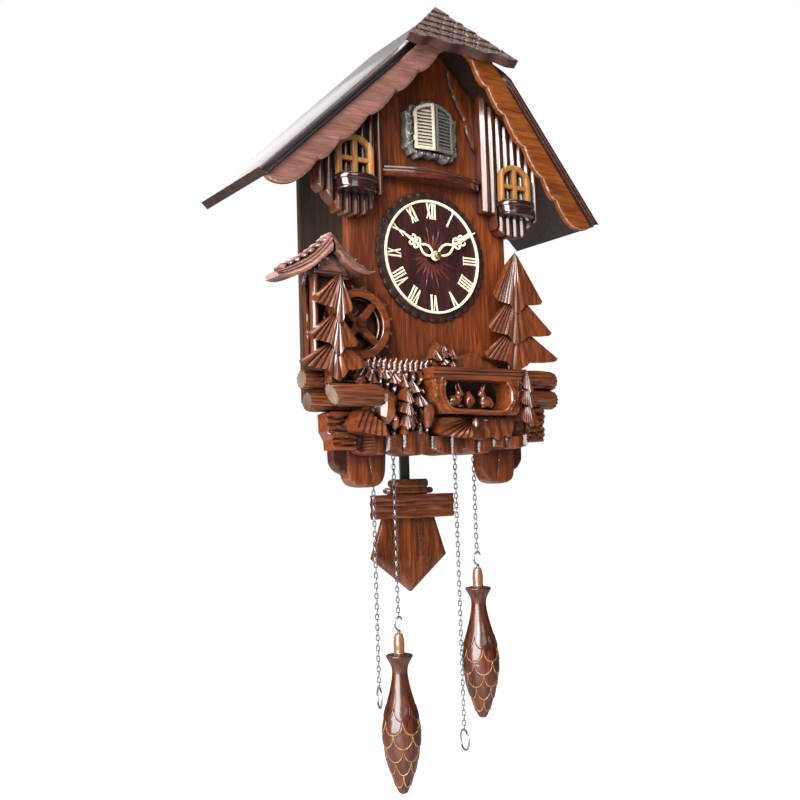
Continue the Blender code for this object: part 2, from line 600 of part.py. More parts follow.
def build_rabbit(name, x, turn):
    """A small seated animal: a round body, a head that looks along turn, and two ears as one tuft."""
    bm = bmesh.new()
    bmesh.ops.create_uvsphere(bm, u_segments=10, v_segments=8, radius=1.0)
    half_size = Matrix.Diagonal((7 * MM, 5 * MM, 6.2 * MM, 1))
    bm.transform(Matrix.Translation(Vector((x, -32, -129.2)) * MM) @ half_size)
    body = mesh_object(name, bm, "varnished_wood")
    bm = bmesh.new()
    bmesh.ops.create_uvsphere(bm, u_segments=10, v_segments=8, radius=1.0)
    bm.transform(Matrix.Translation(Vector((x + turn * 4, -32, -122.5)) * MM)
                 @ Matrix.Diagonal((4.2 * MM, 3.6 * MM, 3.6 * MM, 1)))
    join(body, mesh_object(f"{name}_head", bm))
    join(body, box(f"{name}_ears", (x + turn * 2 - 1.4, x + turn * 2 + 1.4), (-33.5, -30.5), (-122, -114)))


# ---------------------------------------------------------------------------------- pendulum
def build_pendulum():
    pivot = bpy.data.objects.new("pendulum_pivot", None)
    pivot.parent = FACE
    pivot.location = Vector((0, PIVOT_Y, PIVOT_Z)) * MM
    CLOCK.objects.link(pivot)
    strip = [(-5, -262), (5, -262), (5, PIVOT_Z + 6), (-5, PIVOT_Z + 6)]
    rod_piece = plate("pendulum_rod", [strip, circle(1.9, 12, 0, PIVOT_Z)], (49.5, 52), "black_plastic")
    shield = [(-20.2, -200), (-20.2, -204.5), (-39.9, -259.5), (0, -290), (39.9, -259.5), (20.2, -204.5),
              (20.2, -200)]
    bob = plate("pendulum_bob", [shield], (42, 49.2), "varnished_wood")
    for number, (half, z) in enumerate(((24.8, (-204, -198.4)), (19.4, (-199, -191)))):
        block = [(-half, 49.2), (-half, 43), (-half * 0.6, 37), (half * 0.6, 37), (half, 43), (half, 49.2)]
        join(bob, shelf(f"bob_block_{number}", block, z))
    board = box("bob_board", (-43.6, 43.6), (34.5, 41.7), (-225.5, -204.3), "varnished_wood")
    for piece in (rod_piece, bob, board):
        piece.parent = pivot
        piece.location -= pivot.location


# ---------------------------------------------------------------------------------- chains and weights
def build_weight(name, x, top):
    """A turned cone weight with a collar, and the wire hook screwed into its neck."""
    profile = [(0, 0), (4.4, 0), (4.7, -16), (9.5, -18), (12.5, -20), (12.5, -24), (8.5, -27),
               (7.0, -30), (8.2, -40), (12.5, -54), (17.3, -67), (WEIGHT_R, -77), (18.4, -86),
               (16.0, -102), (10.5, -118), (4.5, -129), (2.5, -131), (0, -131)]
    weight = turned(name, profile, (x, CHAIN_Y, top), "varnished_wood")
    bends = [(0, -4), (0, 3), (-2.6, 5.5), (-2.4, 9), (0, 11.2), (2.2, 9.6), (2.4, 7.2)]
    hook = [(x + u, CHAIN_Y, top + v) for u, v in bends]
    join(weight, wire(f"{name}_hook", hook, 0.9))


def build_chains():
    sprocket_x = (CHAIN_INNER + CHAIN_OUTER) / 2
    for word, side, weight_x, ring_x, weight_top, ring_top, ring_turn in (
            ("left", -1, -CHAIN_INNER, -CHAIN_OUTER, LEFT_WEIGHT_TOP, LEFT_RING_TOP, 21.0),
            ("right", 1, CHAIN_OUTER, CHAIN_INNER, RIGHT_WEIGHT_TOP, RIGHT_RING_TOP, 13.0)):
        build_weight(f"{word}_weight", weight_x, weight_top)
        low = weight_top + 12.5
        rod(f"{word}_weight_chain", (weight_x, CHAIN_Y, low), 2, STORED_TOP - low, CHAIN_R, "steel", sides=8)
        strand = rod(f"{word}_ring_chain", (ring_x, CHAIN_Y, ring_top), 2, SPROCKET_Z - ring_top, CHAIN_R,
                     "steel", sides=8)
        turn = math.radians(ring_turn)
        centre_z = ring_top - PULL_RING_R + 0.6
        loop = [(ring_x + u * math.sin(turn), CHAIN_Y + u * math.cos(turn), centre_z + v)
                for u, v in circle(PULL_RING_R, 16, phase=math.pi / 2)]
        join(strand, wire(f"{word}_pull_ring", loop, 0.9, closed=True))
        teeth = [((8.0 if i % 2 else 6.6) * math.cos(math.pi * i / 8) + side * sprocket_x,
                  (8.0 if i % 2 else 6.6) * math.sin(math.pi * i / 8) + SPROCKET_Z) for i in range(16)]
        bore = circle(1.9, 12, side * sprocket_x, SPROCKET_Z)
        wheel = plate(f"{word}_chain_wheel", [teeth, bore], (17, 21), "brass")
        set_pivot(wheel, (side * sprocket_x, CHAIN_Y, SPROCKET_Z))


build_case()
build_roof()
build_facade()
build_dial()
build_cuckoo_door()
build_bird()
build_movement()
build_mill()
build_trees()
build_base()
build_pendulum()
build_chains()
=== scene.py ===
"""The looks of a carved chalet cuckoo clock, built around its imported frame.

Lengths are millimetres in the face frame: x to the right, y into the case from the front board's
face, z up from the hand arbor. world() carries them to the frame's metres.
"""

import json
import math

import bmesh
import bpy
import numpy as np
from mathutils import Matrix, Vector
from mathutils.geometry import delaunay_2d_cdt

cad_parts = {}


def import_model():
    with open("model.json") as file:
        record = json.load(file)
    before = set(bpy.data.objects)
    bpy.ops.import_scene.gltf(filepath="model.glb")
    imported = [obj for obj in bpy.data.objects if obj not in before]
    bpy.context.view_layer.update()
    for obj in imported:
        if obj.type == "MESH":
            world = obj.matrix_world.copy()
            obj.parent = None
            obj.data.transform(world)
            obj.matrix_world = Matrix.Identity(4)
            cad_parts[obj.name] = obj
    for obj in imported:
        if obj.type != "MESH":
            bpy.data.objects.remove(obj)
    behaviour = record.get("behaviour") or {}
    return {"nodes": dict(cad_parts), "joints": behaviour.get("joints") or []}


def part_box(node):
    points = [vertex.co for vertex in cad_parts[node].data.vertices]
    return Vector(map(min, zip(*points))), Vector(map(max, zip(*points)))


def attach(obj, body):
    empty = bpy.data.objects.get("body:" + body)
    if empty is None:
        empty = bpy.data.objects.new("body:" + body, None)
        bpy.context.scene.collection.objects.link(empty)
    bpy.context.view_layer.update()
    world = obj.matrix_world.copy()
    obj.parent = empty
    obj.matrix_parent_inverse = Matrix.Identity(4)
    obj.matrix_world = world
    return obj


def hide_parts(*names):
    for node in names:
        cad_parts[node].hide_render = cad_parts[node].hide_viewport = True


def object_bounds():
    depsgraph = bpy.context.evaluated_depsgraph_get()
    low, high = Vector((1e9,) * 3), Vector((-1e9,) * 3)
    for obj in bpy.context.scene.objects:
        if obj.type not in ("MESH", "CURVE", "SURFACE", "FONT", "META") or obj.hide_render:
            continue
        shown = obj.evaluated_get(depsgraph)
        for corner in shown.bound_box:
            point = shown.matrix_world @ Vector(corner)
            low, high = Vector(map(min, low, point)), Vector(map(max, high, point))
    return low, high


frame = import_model()
CAD_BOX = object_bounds()

MM = 0.001
JOINTS = {joint["name"]: joint for joint in frame["joints"]}
FRONT_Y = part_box("front_board")[0].y
DIAL_Z = JOINTS["minute_spin"]["pos_m"][2]


def world(x, y, z):
    return Vector((x * MM, FRONT_Y + y * MM, DIAL_Z + z * MM))


# ---------------------------------------------------------------------------------- camera
CAMERA_AT = (-0.5170, -0.7925, -0.2884)
CAMERA_RIGHT = (0.8282, -0.5596, -0.0313)
CAMERA_UP = (-0.0220, -0.0883, 0.9959)
CAMERA_LENS = 45.94


def add_camera():
    data = bpy.data.cameras.new("camera")
    data.lens = CAMERA_LENS
    data.sensor_width = 36.0
    data.clip_start = 0.01
    camera = bpy.data.objects.new("camera", data)
    right = Vector(CAMERA_RIGHT).normalized()
    back = right.cross(Vector(CAMERA_UP)).normalized()
    up = back.cross(right)
    turn = Matrix((right, up, back)).transposed().to_4x4()
    camera.matrix_world = Matrix.Translation(CAMERA_AT) @ turn
    bpy.context.scene.collection.objects.link(camera)
    bpy.context.scene.camera = camera


add_camera()


# ---------------------------------------------------------------------------------- materials
WHITE = (1.0, 1.0, 1.0)
# Every wood colour below is multiplied by this.
STAIN = 0.42
OCCLUSION_SAMPLES = 6


def new_material(name):
    material = bpy.data.materials.new(name)
    material.use_nodes = True
    tree = material.node_tree
    return material, tree, tree.nodes["Principled BSDF"]


def add_node(tree, kind, **inputs):
    node = tree.nodes.new(kind)
    for key, value in inputs.items():
        node.inputs[key.replace("_", " ")].default_value = value
    return node


def grain_coordinates(tree, along, stretch, scale):
    """Object coordinates, drawn out along the grain: along is 0, 1 or 2 for x, y or z."""
    where = tree.nodes.new("ShaderNodeTexCoord")
    mapping = tree.nodes.new("ShaderNodeMapping")
    size = [scale] * 3
    size[along] = scale / stretch
    mapping.inputs["Scale"].default_value = size
    tree.links.new(where.outputs["Object"], mapping.inputs["Vector"])
    return mapping.outputs["Vector"]


def ramp(tree, factor, *stops):
    node = tree.nodes.new("ShaderNodeValToRGB")
    elements = node.color_ramp.elements
    for index, (position, colour) in enumerate(stops):
        element = elements[index] if index < 2 else elements.new(position)
        element.position = position
        element.color = (*colour, 1.0)
    tree.links.new(factor, node.inputs["Fac"])
    return node.outputs["Color"]


def mix_colour(tree, blend, factor, first, second):
    node = tree.nodes.new("ShaderNodeMix")
    node.data_type = "RGBA"
    node.blend_type = blend
    colour_a, colour_b = node.inputs[6], node.inputs[7]
    if isinstance(factor, float):
        node.inputs[0].default_value = factor
    else:
        tree.links.new(factor, node.inputs[0])
    for socket, value in ((colour_a, first), (colour_b, second)):
        if isinstance(value, tuple):
            socket.default_value = (*value, 1.0)
        else:
            tree.links.new(value, socket)
    return node.outputs[2]


def paint_crevice_shade(tree, colour, amount, reach, deep, open_from):
    """Painted shade: darkens a colour where other surfaces are nearer than reach."""
    shade = add_node(tree, "ShaderNodeAmbientOcclusion", Distance=reach)
    shade.samples = OCCLUSION_SAMPLES
    depth = ramp(tree, shade.outputs["AO"], deep, (open_from, WHITE))
    return mix_colour(tree, "MULTIPLY", amount, colour, depth)


def join_surface(tree, shader, colour, height, rough, polished, bump, depth):
    """Joins a colour to the shader, with a roughness and a bump that follow the same height."""
    tree.links.new(colour, shader.inputs["Base Color"])
    stops = [(position, (value,) * 3) for position, value in (rough, polished)]
    tree.links.new(ramp(tree, height, *stops), shader.inputs["Roughness"])
    lumps = add_node(tree, "ShaderNodeBump", Strength=bump, Distance=depth)
    tree.links.new(height, lumps.inputs["Height"])
    tree.links.new(lumps.outputs["Normal"], shader.inputs["Normal"])


def wood(name, dark, middle, light, along=2, gloss=0.22, coat=0.6, grain=520.0, bump=0.25, crevice_shade=0.0,
         streak=0.5, wave=0.4, specular=0.28, coat_rough=0.12):
    """Stained and varnished wood: pores and streaks along the grain, cloudy stain, and painted shade in
    crevices.
    """
    dark, middle, light = (tuple(value * STAIN for value in colour) for colour in (dark, middle, light))
    material, tree, shader = new_material(name)
    fine = add_node(tree, "ShaderNodeTexNoise", Scale=1.0, Detail=6.0, Roughness=0.6, Distortion=wave)
    tree.links.new(grain_coordinates(tree, along, 14.0, grain), fine.inputs["Vector"])
    broad = add_node(tree, "ShaderNodeTexNoise", Scale=1.0, Detail=3.0, Roughness=0.5, Distortion=1.2)
    tree.links.new(grain_coordinates(tree, along, 5.0, grain * 0.16), broad.inputs["Vector"])
    pores = fine.outputs["Fac"]
    colour = ramp(tree, pores, (0.30, dark), (0.62, light), (0.47, middle))
    stain = ramp(tree, broad.outputs["Fac"], (0.30, (0.45, 0.42, 0.40)), (0.70, (1.25, 1.2, 1.15)))
    colour = mix_colour(tree, "MULTIPLY", streak, colour, stain)
    # Painted shade in the crevices, from ambient occlusion.
    if crevice_shade:
        colour = paint_crevice_shade(tree, colour, crevice_shade, 0.009, (0.38, (0.06, 0.04, 0.035)), 0.92)
    join_surface(tree, shader, colour, pores, (0.25, gloss + 0.16), (0.7, gloss), bump, 0.0006)
    shader.inputs["Specular IOR Level"].default_value = specular
    shader.inputs["Coat Weight"].default_value = coat
    shader.inputs["Coat Roughness"].default_value = coat_rough
    shader.inputs["Coat IOR"].default_value = 1.6
    return material


def plain(name, colour, shade, roughness, metallic=0.0, scale=600.0, bump=0.05, coat=0.0, crevice_shade=0.0):
    """Metal, plastic or paint: a cloudy two-tone colour with a little unevenness, and painted shade in its
    crevices if asked.
    """
    material, tree, shader = new_material(name)
    noise = add_node(tree, "ShaderNodeTexNoise", Scale=1.0, Detail=4.0, Roughness=0.55)
    tree.links.new(grain_coordinates(tree, 2, 1.0, scale), noise.inputs["Vector"])
    cloud = noise.outputs["Fac"]
    colour = ramp(tree, cloud, (0.3, shade), (0.65, colour))
    # Painted shade in the crevices, from ambient occlusion.
    if crevice_shade:
        colour = paint_crevice_shade(tree, colour, crevice_shade, 0.003, (0.45, (0.06, 0.05, 0.05)), 0.95)
    join_surface(tree, shader, colour, cloud, (0.3, roughness + 0.08), (0.7, roughness), bump, 0.0004)
    shader.inputs["Metallic"].default_value = metallic
    shader.inputs["Coat Weight"].default_value = coat
    return material


# The crevice numbers below set how strongly each material is darkened in its crevices, as painted shade.
FACADE = wood("facade_wood", (0.12, 0.020, 0.004), (0.23, 0.042, 0.007), (0.42, 0.100, 0.018), grain=200.0,
              gloss=0.48, coat=0.12, crevice_shade=0.7, streak=0.9, wave=2.2)
CARVED = wood("carved_wood", (0.12, 0.024, 0.006), (0.23, 0.050, 0.012), (0.37, 0.100, 0.026), grain=420.0,
              gloss=0.24, coat=0.75, crevice_shade=1.0)
CARVED_LEVEL = wood("carved_wood_level", (0.12, 0.024, 0.006), (0.23, 0.050, 0.012), (0.37, 0.100, 0.026),
                    along=0, grain=420.0, gloss=0.24, coat=0.7, crevice_shade=1.0)
RIBS = wood("rib_wood", (0.050, 0.010, 0.004), (0.13, 0.028, 0.009), (0.24, 0.056, 0.018), gloss=0.22,
            coat=0.55, crevice_shade=1.0)
# Painted sheen: the left barge board's wood is a paler, pinker copy of the right one's, for the light that
# falls on the left.
FASCIA_LEFT_SHEEN = wood("left_fascia_painted_sheen_wood", (0.26, 0.105, 0.078), (0.38, 0.165, 0.130), (0.52, 0.25, 0.20),
                   along=0, grain=640.0, gloss=0.36, coat=0.3, wave=1.0)
FASCIA_RIGHT = wood("right_fascia_wood", (0.17, 0.035, 0.006), (0.31, 0.075, 0.011), (0.46, 0.135, 0.024),
                    along=0, grain=420.0, gloss=0.34, coat=0.2)
# Painted highlight, for the front of the barge boards' lobed edges.
PAINTED_HIGHLIGHT_EDGE = wood("painted_highlight_edge_wood", (0.42, 0.24, 0.17), (0.58, 0.36, 0.27), (0.72, 0.48, 0.38), gloss=0.3)
# Dark red wood: the mill axle's own colour, and also painted shade in grooves, undersides and gaps below.
DARK_RED = wood("dark_red_wood", (0.035, 0.008, 0.005), (0.085, 0.018, 0.010), (0.15, 0.034, 0.018), along=0,
                gloss=0.3, coat=0.4)
ROOF = wood("roof_wood", (0.022, 0.010, 0.007), (0.044, 0.022, 0.015), (0.075, 0.040, 0.028), along=0,
            gloss=0.34, coat=0.15)
SHINGLE = wood("shingle_wood", (0.12, 0.074, 0.062), (0.23, 0.152, 0.130), (0.36, 0.25, 0.215), along=1,
               gloss=0.30, coat=0.7, crevice_shade=0.9)
# Painted sheen: a paler, pinker wood for the roof boards' tops.
ROOF_TOP_SHEEN = wood("roof_top_painted_sheen_wood", (0.050, 0.030, 0.034), (0.10, 0.064, 0.068), (0.17, 0.115, 0.12), along=0,
                gloss=0.26, coat=1.0, coat_rough=0.28)
DARK_END = wood("dark_end_wood", (0.11, 0.066, 0.050), (0.19, 0.125, 0.095), (0.30, 0.205, 0.16), gloss=0.4,
                coat=0.3)
SIDE = wood("case_side_wood", (0.020, 0.009, 0.004), (0.032, 0.015, 0.007), (0.048, 0.023, 0.011), gloss=0.62,
            coat=0.0, specular=0.15)
# Painted shade: a near-black wood for the roof boards' front faces.
ROOF_EDGE_SHADE = wood("roof_edge_painted_shade_wood", (0.008, 0.004, 0.005), (0.015, 0.008, 0.010), (0.028, 0.016, 0.018),
                 along=0, gloss=0.42, coat=0.1)
BALCONY = wood("balcony_wood", (0.05, 0.011, 0.005), (0.12, 0.026, 0.010), (0.22, 0.056, 0.020), along=0,
               gloss=0.12, coat=1.0)
MILL_ROOF = wood("mill_roof_wood", (0.24, 0.090, 0.062), (0.38, 0.165, 0.125), (0.52, 0.26, 0.21), along=0,
                 grain=420.0, gloss=0.22, coat=0.8, crevice_shade=1.0)
# Painted shade: a near-black wood for the inside of the hollow log.
HOLLOW_SHADE = wood("hollow_painted_shade_wood", (0.016, 0.005, 0.003), (0.034, 0.010, 0.005), (0.060, 0.020, 0.010), along=0,
              gloss=0.5, coat=0.0)
BACK = wood("back_stained_wood", (0.045, 0.022, 0.012), (0.075, 0.038, 0.020), (0.11, 0.058, 0.032),
            gloss=0.5, coat=0.0)
GOLDEN = wood("golden_wood", (0.42, 0.16, 0.030), (0.62, 0.27, 0.065), (0.80, 0.40, 0.13), gloss=0.34,
              coat=0.3, crevice_shade=0.7)
DARK_GLOSS = wood("dark_gloss_wood", (0.012, 0.004, 0.003), (0.034, 0.009, 0.005), (0.070, 0.018, 0.008),
                  along=0, gloss=0.12, coat=1.0, crevice_shade=0.5)
DIAL_RIM = wood("dial_rim_wood", (0.022, 0.009, 0.008), (0.044, 0.019, 0.015), (0.080, 0.036, 0.027),
                gloss=0.34, coat=0.25, crevice_shade=0.9)
DIAL_FACE = wood("dial_face_wood", (0.024, 0.006, 0.006), (0.050, 0.012, 0.012), (0.090, 0.022, 0.021),
                 gloss=0.38, coat=0.15)
DIAL_FLAME = wood("dial_flame", (0.075, 0.013, 0.012), (0.13, 0.024, 0.020), (0.21, 0.046, 0.038), gloss=0.4,
                  coat=0.2)
WEIGHT = wood("weight_wood", (0.034, 0.007, 0.002), (0.095, 0.020, 0.006), (0.20, 0.048, 0.014), gloss=0.26,
              coat=0.45, grain=320.0, bump=0.08)
PLUG = wood("plug_wood", (0.20, 0.075, 0.030), (0.33, 0.135, 0.060), (0.48, 0.22, 0.11), gloss=0.2, coat=0.8)
BOB = wood("bob_wood", (0.060, 0.012, 0.003), (0.17, 0.036, 0.008), (0.34, 0.085, 0.020), grain=300.0,
           gloss=0.2, coat=0.7, streak=0.85, wave=1.2)
TAN = wood("tan_line", (0.38, 0.15, 0.05), (0.60, 0.27, 0.10), (0.90, 0.50, 0.22), gloss=0.35, coat=0.4)
CUT_END = wood("cut_end_wood", (0.17, 0.11, 0.075), (0.29, 0.20, 0.14), (0.42, 0.31, 0.23), gloss=0.3,
               coat=0.5)
PLYWOOD = wood("plywood", (0.45, 0.27, 0.135), (0.62, 0.40, 0.21), (0.76, 0.53, 0.31), gloss=0.55, coat=0.0)
IVORY = plain("ivory", (0.80, 0.72, 0.52), (0.66, 0.56, 0.36), 0.32, coat=0.3, crevice_shade=0.5)
PEWTER = plain("pewter", (0.25, 0.235, 0.215), (0.12, 0.11, 0.10), 0.30, metallic=0.5, scale=900.0, bump=0.3,
               crevice_shade=1.0)
# Painted glare: a paler copy of the pewter, for the left shutter.
PEWTER_GLARE = plain("pewter_painted_glare", (0.56, 0.50, 0.38), (0.38, 0.33, 0.25), 0.34, metallic=0.1, crevice_shade=1.0)
STEEL = plain("steel", (0.36, 0.36, 0.37), (0.24, 0.24, 0.25), 0.26, metallic=1.0)
BRASS = plain("brass", (0.62, 0.43, 0.17), (0.45, 0.30, 0.11), 0.28, metallic=1.0)
BLACK = plain("black_plastic", (0.022, 0.022, 0.022), (0.012, 0.012, 0.012), 0.40)
GREEN_BLACK = plain("pendulum_rod_paint", (0.020, 0.022, 0.018), (0.012, 0.013, 0.010), 0.42)


# ---------------------------------------------------------------------------------- mesh tools
class Shell:
    """Points in the face frame, and faces between them."""

    def __init__(self):
        self.points = []
        self.faces = []

    def add(self, points, faces):
        base = len(self.points)
        self.points += [tuple(map(float, p)) for p in points]
        self.faces += [tuple(base + int(i) for i in face) for face in faces]


def ring_faces(rings, sides, looped=False):
    """Quads between rings of points. The last ring meets the first if looped, or else both are capped."""
    faces = [(j * sides + i, j * sides + (i + 1) % sides,
              (j + 1) % rings * sides + (i + 1) % sides, (j + 1) % rings * sides + i)
             for j in range(rings if looped else rings - 1) for i in range(sides)]
    if not looped:
        faces += [tuple(range(sides)), tuple((rings - 1) * sides + i for i in range(sides))]
    return faces


def loft(shell, rings):
    """A solid through rings that have the same number of points."""
    shell.add([p for ring in rings for p in ring], ring_faces(len(rings), len(rings[0])))


SIDES = (("left", -1), ("right", 1))
# The backs of what sits on the front board, and of what sits on the carved ground.
BOARD_BACK = -0.3
GROUND_BACK = -17.3
BOX_FACES = [(0, 1, 2, 3), (4, 5, 6, 7)] + [(i, (i + 1) % 4, 4 + (i + 1) % 4, 4 + i) for i in range(4)]


def make(name, shell, material, body="case", replaces=None, smooth=38.0, turn=None):
    """A piece from a shell. turn is a (pivot, axis, angle) about which it is turned into place."""
    mesh = bpy.data.meshes.new(name)
    mesh.from_pydata([world(*p) for p in shell.points], [], shell.faces)
    bm = bmesh.new()
    bm.from_mesh(mesh)
    bmesh.ops.recalc_face_normals(bm, faces=bm.faces)
    bm.to_mesh(mesh)
    bm.free()
    if turn:
        pivot, axis, angle = turn
        at = world(*pivot)
        mesh.transform(Matrix.Translation(at) @ Matrix.Rotation(angle, 4, axis) @ Matrix.Translation(-at))
    mesh.shade_smooth()
    mesh.set_sharp_from_angle(angle=math.radians(smooth))
    mesh.materials.append(material)
    piece = bpy.data.objects.new(name, mesh)
    bpy.context.scene.collection.objects.link(piece)
    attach(piece, body)
    if replaces:
        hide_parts(replaces)
    return piece


def paint(piece, material, test):
    """Gives a second material to the faces whose middle and normal pass test, in the face frame."""
    piece.data.materials.append(material)
    index = len(piece.data.materials) - 1
    for face in piece.data.polygons:
        c = face.center
        middle = Vector((c.x / MM, (c.y - FRONT_Y) / MM, (c.z - DIAL_Z) / MM))
        if test(middle, face.normal):
            face.material_index = index


def smooth_line(points, per=6, closed=False):
    """A Catmull-Rom curve through points."""
    points = [np.array(p, float) for p in points]
    count = len(points)
    out = []
    for i in range(count if closed else count - 1):
        if closed:
            p0, p1, p2, p3 = (points[(i + k) % count] for k in (-1, 0, 1, 2))
        else:
            p0, p1, p2, p3 = points[max(i - 1, 0)], points[i], points[i + 1], points[min(i + 2, count - 1)]
        for step in range(per):
            t = step / per
            out.append(0.5 * (2 * p1 + (p2 - p0) * t + (2 * p0 - 5 * p1 + 4 * p2 - p3) * t * t
                              + (3 * p1 - p0 - 3 * p2 + p3) * t ** 3))
    if not closed:
        out.append(points[-1])
    return [tuple(p) for p in out]


def spaced(outline, step):
    """A closed outline with points at most step apart, its corners kept."""
    out = []
    for a, b in zip(outline, outline[1:] + outline[:1]):
        pieces = max(1, math.ceil(math.dist(a, b) / step))
        out += [(a[0] + (b[0] - a[0]) * i / pieces, a[1] + (b[1] - a[1]) * i / pieces) for i in range(pieces)]
    return out


def along(line, count):
    """count points equally spaced along a line of points."""
    line = np.array(line, float)
    lengths = np.r_[0, np.cumsum(np.linalg.norm(np.diff(line, axis=0), axis=1))]
    at = np.linspace(0, lengths[-1], count)
    return np.stack([np.interp(at, lengths, line[:, k]) for k in range(line.shape[1])], axis=1)


def inside(points, loops):
    """Which points lie inside the loops, holes left out."""
    found = np.zeros(len(points), bool)
    for loop in loops:
        a = np.array(loop)
        b = np.roll(a, -1, axis=0)
        x, z = points[:, 0:1], points[:, 1:2]
        crosses = (a[:, 1] > z) != (b[:, 1] > z)
        height = np.where(b[:, 1] == a[:, 1], 1e-12, b[:, 1] - a[:, 1])
        found ^= (crosses & (x < (b[:, 0] - a[:, 0]) * (z - a[:, 1]) / height + a[:, 0])).sum(1) % 2 == 1
    return found


def edge_distance(points, loops):
    """How far each point is from the nearest loop."""
    best = np.full(len(points), 1e9)
    for loop in loops:
        a = np.array(loop)
        b = np.roll(a, -1, axis=0)
        ab = b - a
        size = np.maximum((ab ** 2).sum(1), 1e-12)
        for start in range(0, len(points), 4000):
            p = points[start:start + 4000]
            t = np.clip(((p[:, None] - a) * ab).sum(2) / size, 0, 1)
            gap = np.linalg.norm(p[:, None] - a - t[..., None] * ab, axis=2).min(1)
            best[start:start + 4000] = np.minimum(best[start:start + 4000], gap)
    return best


def triangulate(points, loops, loop_edges):
    """Points and triangles that fill the loops, and where each given point went."""
    result = delaunay_2d_cdt([Vector(p) for p in points], loop_edges, [], 0, 1e-5)
    out = np.array([tuple(v) for v in result[0]])
    faces = np.array(result[2])
    faces = faces[inside(out[faces].mean(1), loops)]
    index_of = {given: index for index, givens in enumerate(result[3]) for given in givens}
    return out, faces, index_of


def clear_inside(points, loops, clear):
    """The points that lie inside the loops and more than clear from their edges."""
    points = points[inside(points, loops)]
    return points[edge_distance(points, loops) > clear]


def staggered_grid(flat, step):
    low, high = flat.min(0), flat.max(0)
    columns = np.arange(low[0], high[0] + step, step)
    rows = np.arange(low[1], high[1] + step, step * 0.866)
    return np.array([(x + (step / 2 if j % 2 else 0), z) for j, z in enumerate(rows) for x in columns])


def edge_rings(loops, rounding):
    """Points just inside the loops' edges, where the rounding bends most."""
    rings = []
    for loop in loops:
        p = np.array(loop)
        tangent = np.roll(p, -1, axis=0) - np.roll(p, 1, axis=0)
        normal = np.stack([-tangent[:, 1], tangent[:, 0]], axis=1)
        normal /= np.maximum(np.linalg.norm(normal, axis=1, keepdims=True), 1e-9)
        for offset in (0.3 * rounding, rounding):
            for side in (1, -1):
                rings.append(clear_inside(p + normal * offset * side, loops, 0.85 * offset))
    return rings


def relief(shell, outline, back, front, step=1.5, rounding=1.2, holes=(), seeds=()):
    """A board in the x-z plane whose front surface is front(x, z, edge distance), and whose edges are
    rounded over. holes are outlines cut through it, and seeds are extra points for fine detail."""
    loops = [spaced(list(loop), step) for loop in (outline, *holes)]
    flat = np.array([p for loop in loops for p in loop])
    edges = []
    for loop in loops:
        base = len(edges)
        edges += [(base + i, base + (i + 1) % len(loop)) for i in range(len(loop))]
    grid = clear_inside(staggered_grid(flat, step), loops, rounding + 0.35 * step)
    extra = clear_inside(np.array(list(seeds), float).reshape(-1, 2), loops, 0.4 * step)
    points = np.concatenate([flat, *edge_rings(loops, rounding), grid, extra])
    out, faces, index_of = triangulate(points, loops, edges)
    gap = edge_distance(out, loops)
    x, z = out[:, 0], out[:, 1]
    y = front(x, z, gap) if callable(front) else np.full(len(x), float(front))
    t = np.clip(gap / rounding, 0, 1)
    y = y + rounding * (1 - np.sqrt(np.clip(1 - (1 - t) ** 2, 0, 1)))
    y = np.minimum(y, back - 0.05)
    shell.add(np.stack([x, y, z], axis=1), faces)
    back_out, back_faces, back_index = triangulate(flat, loops, edges)
    offset = len(shell.points)
    shell.add([(p[0], back, p[1]) for p in back_out], back_faces)
    first = offset - len(out)
    for a, b in edges:
        shell.faces.append((first + index_of[a], first + index_of[b], offset + back_index[b],
                            offset + back_index[a]))


def close_back(shell, rim, back, undercut):
    """Walls from a rim of points down to the back plane, drawn in by undercut, and a flat back."""
    start = len(shell.points)
    count = len(rim)
    mid_x = sum(shell.points[i][0] for i in rim) / count
    mid_z = sum(shell.points[i][2] for i in rim) / count
    shell.add([(p[0] + (mid_x - p[0]) * undercut, back, p[2] + (mid_z - p[2]) * undercut)
               for p in (shell.points[i] for i in rim)], [])
    shell.faces += [(rim[i], rim[(i + 1) % count], start + (i + 1) % count, start + i) for i in range(count)]
    shell.faces.append(tuple(start + i for i in range(count)))


def patch(shell, top, bottom, top_y, bottom_y, back, ridges=4, depth=1.0, across=True, columns=None, rows=8,
          fade=0.0, crown=0.0, facets=False, undercut=0.0):
    """A carved patch between two edges in the x-z plane, closed by walls down to the back plane. The ridges
    run from edge to edge, or along the edges when across is False. fade flattens them at the top edge,
    facets makes them sharp, and undercut draws the back in."""
    per = 4 if facets else 6
    columns = columns or (ridges * per + 1 if across else 25)
    rows = rows if across else ridges * per + 1
    a, b = along(top, columns), along(bottom, columns)
    s = np.linspace(0, 1, columns)[:, None]
    t = np.linspace(0, 1, rows)[None, :]
    phase = (s if across else t) * ridges
    wave = 1 - np.abs(2 * (phase % 1.0) - 1) if facets else np.abs(np.sin(math.pi * phase))
    strength = 1 - fade * (1 - t)
    points = a[:, None] * (1 - t[..., None]) + b[:, None] * t[..., None]
    y = top_y + (bottom_y - top_y) * t - depth * wave * strength
    y = y - crown * np.sin(math.pi * s) * np.ones_like(t)
    cells = [(i * rows + j, (i + 1) * rows + j, (i + 1) * rows + j + 1, i * rows + j + 1)
             for i in range(columns - 1) for j in range(rows - 1)]
    shell.add(np.concatenate([points.reshape(-1, 2)[:, :1], y.reshape(-1, 1), points.reshape(-1, 2)[:, 1:]],
                             axis=1),
              cells)
    first = len(shell.points) - columns * rows
    rim = [first + i * rows for i in range(columns)]
    rim += [first + (columns - 1) * rows + j for j in range(1, rows)]
    rim += [first + i * rows + rows - 1 for i in range(columns - 2, -1, -1)]
    rim += [first + j for j in range(rows - 2, 0, -1)]
    close_back(shell, rim, back, undercut)


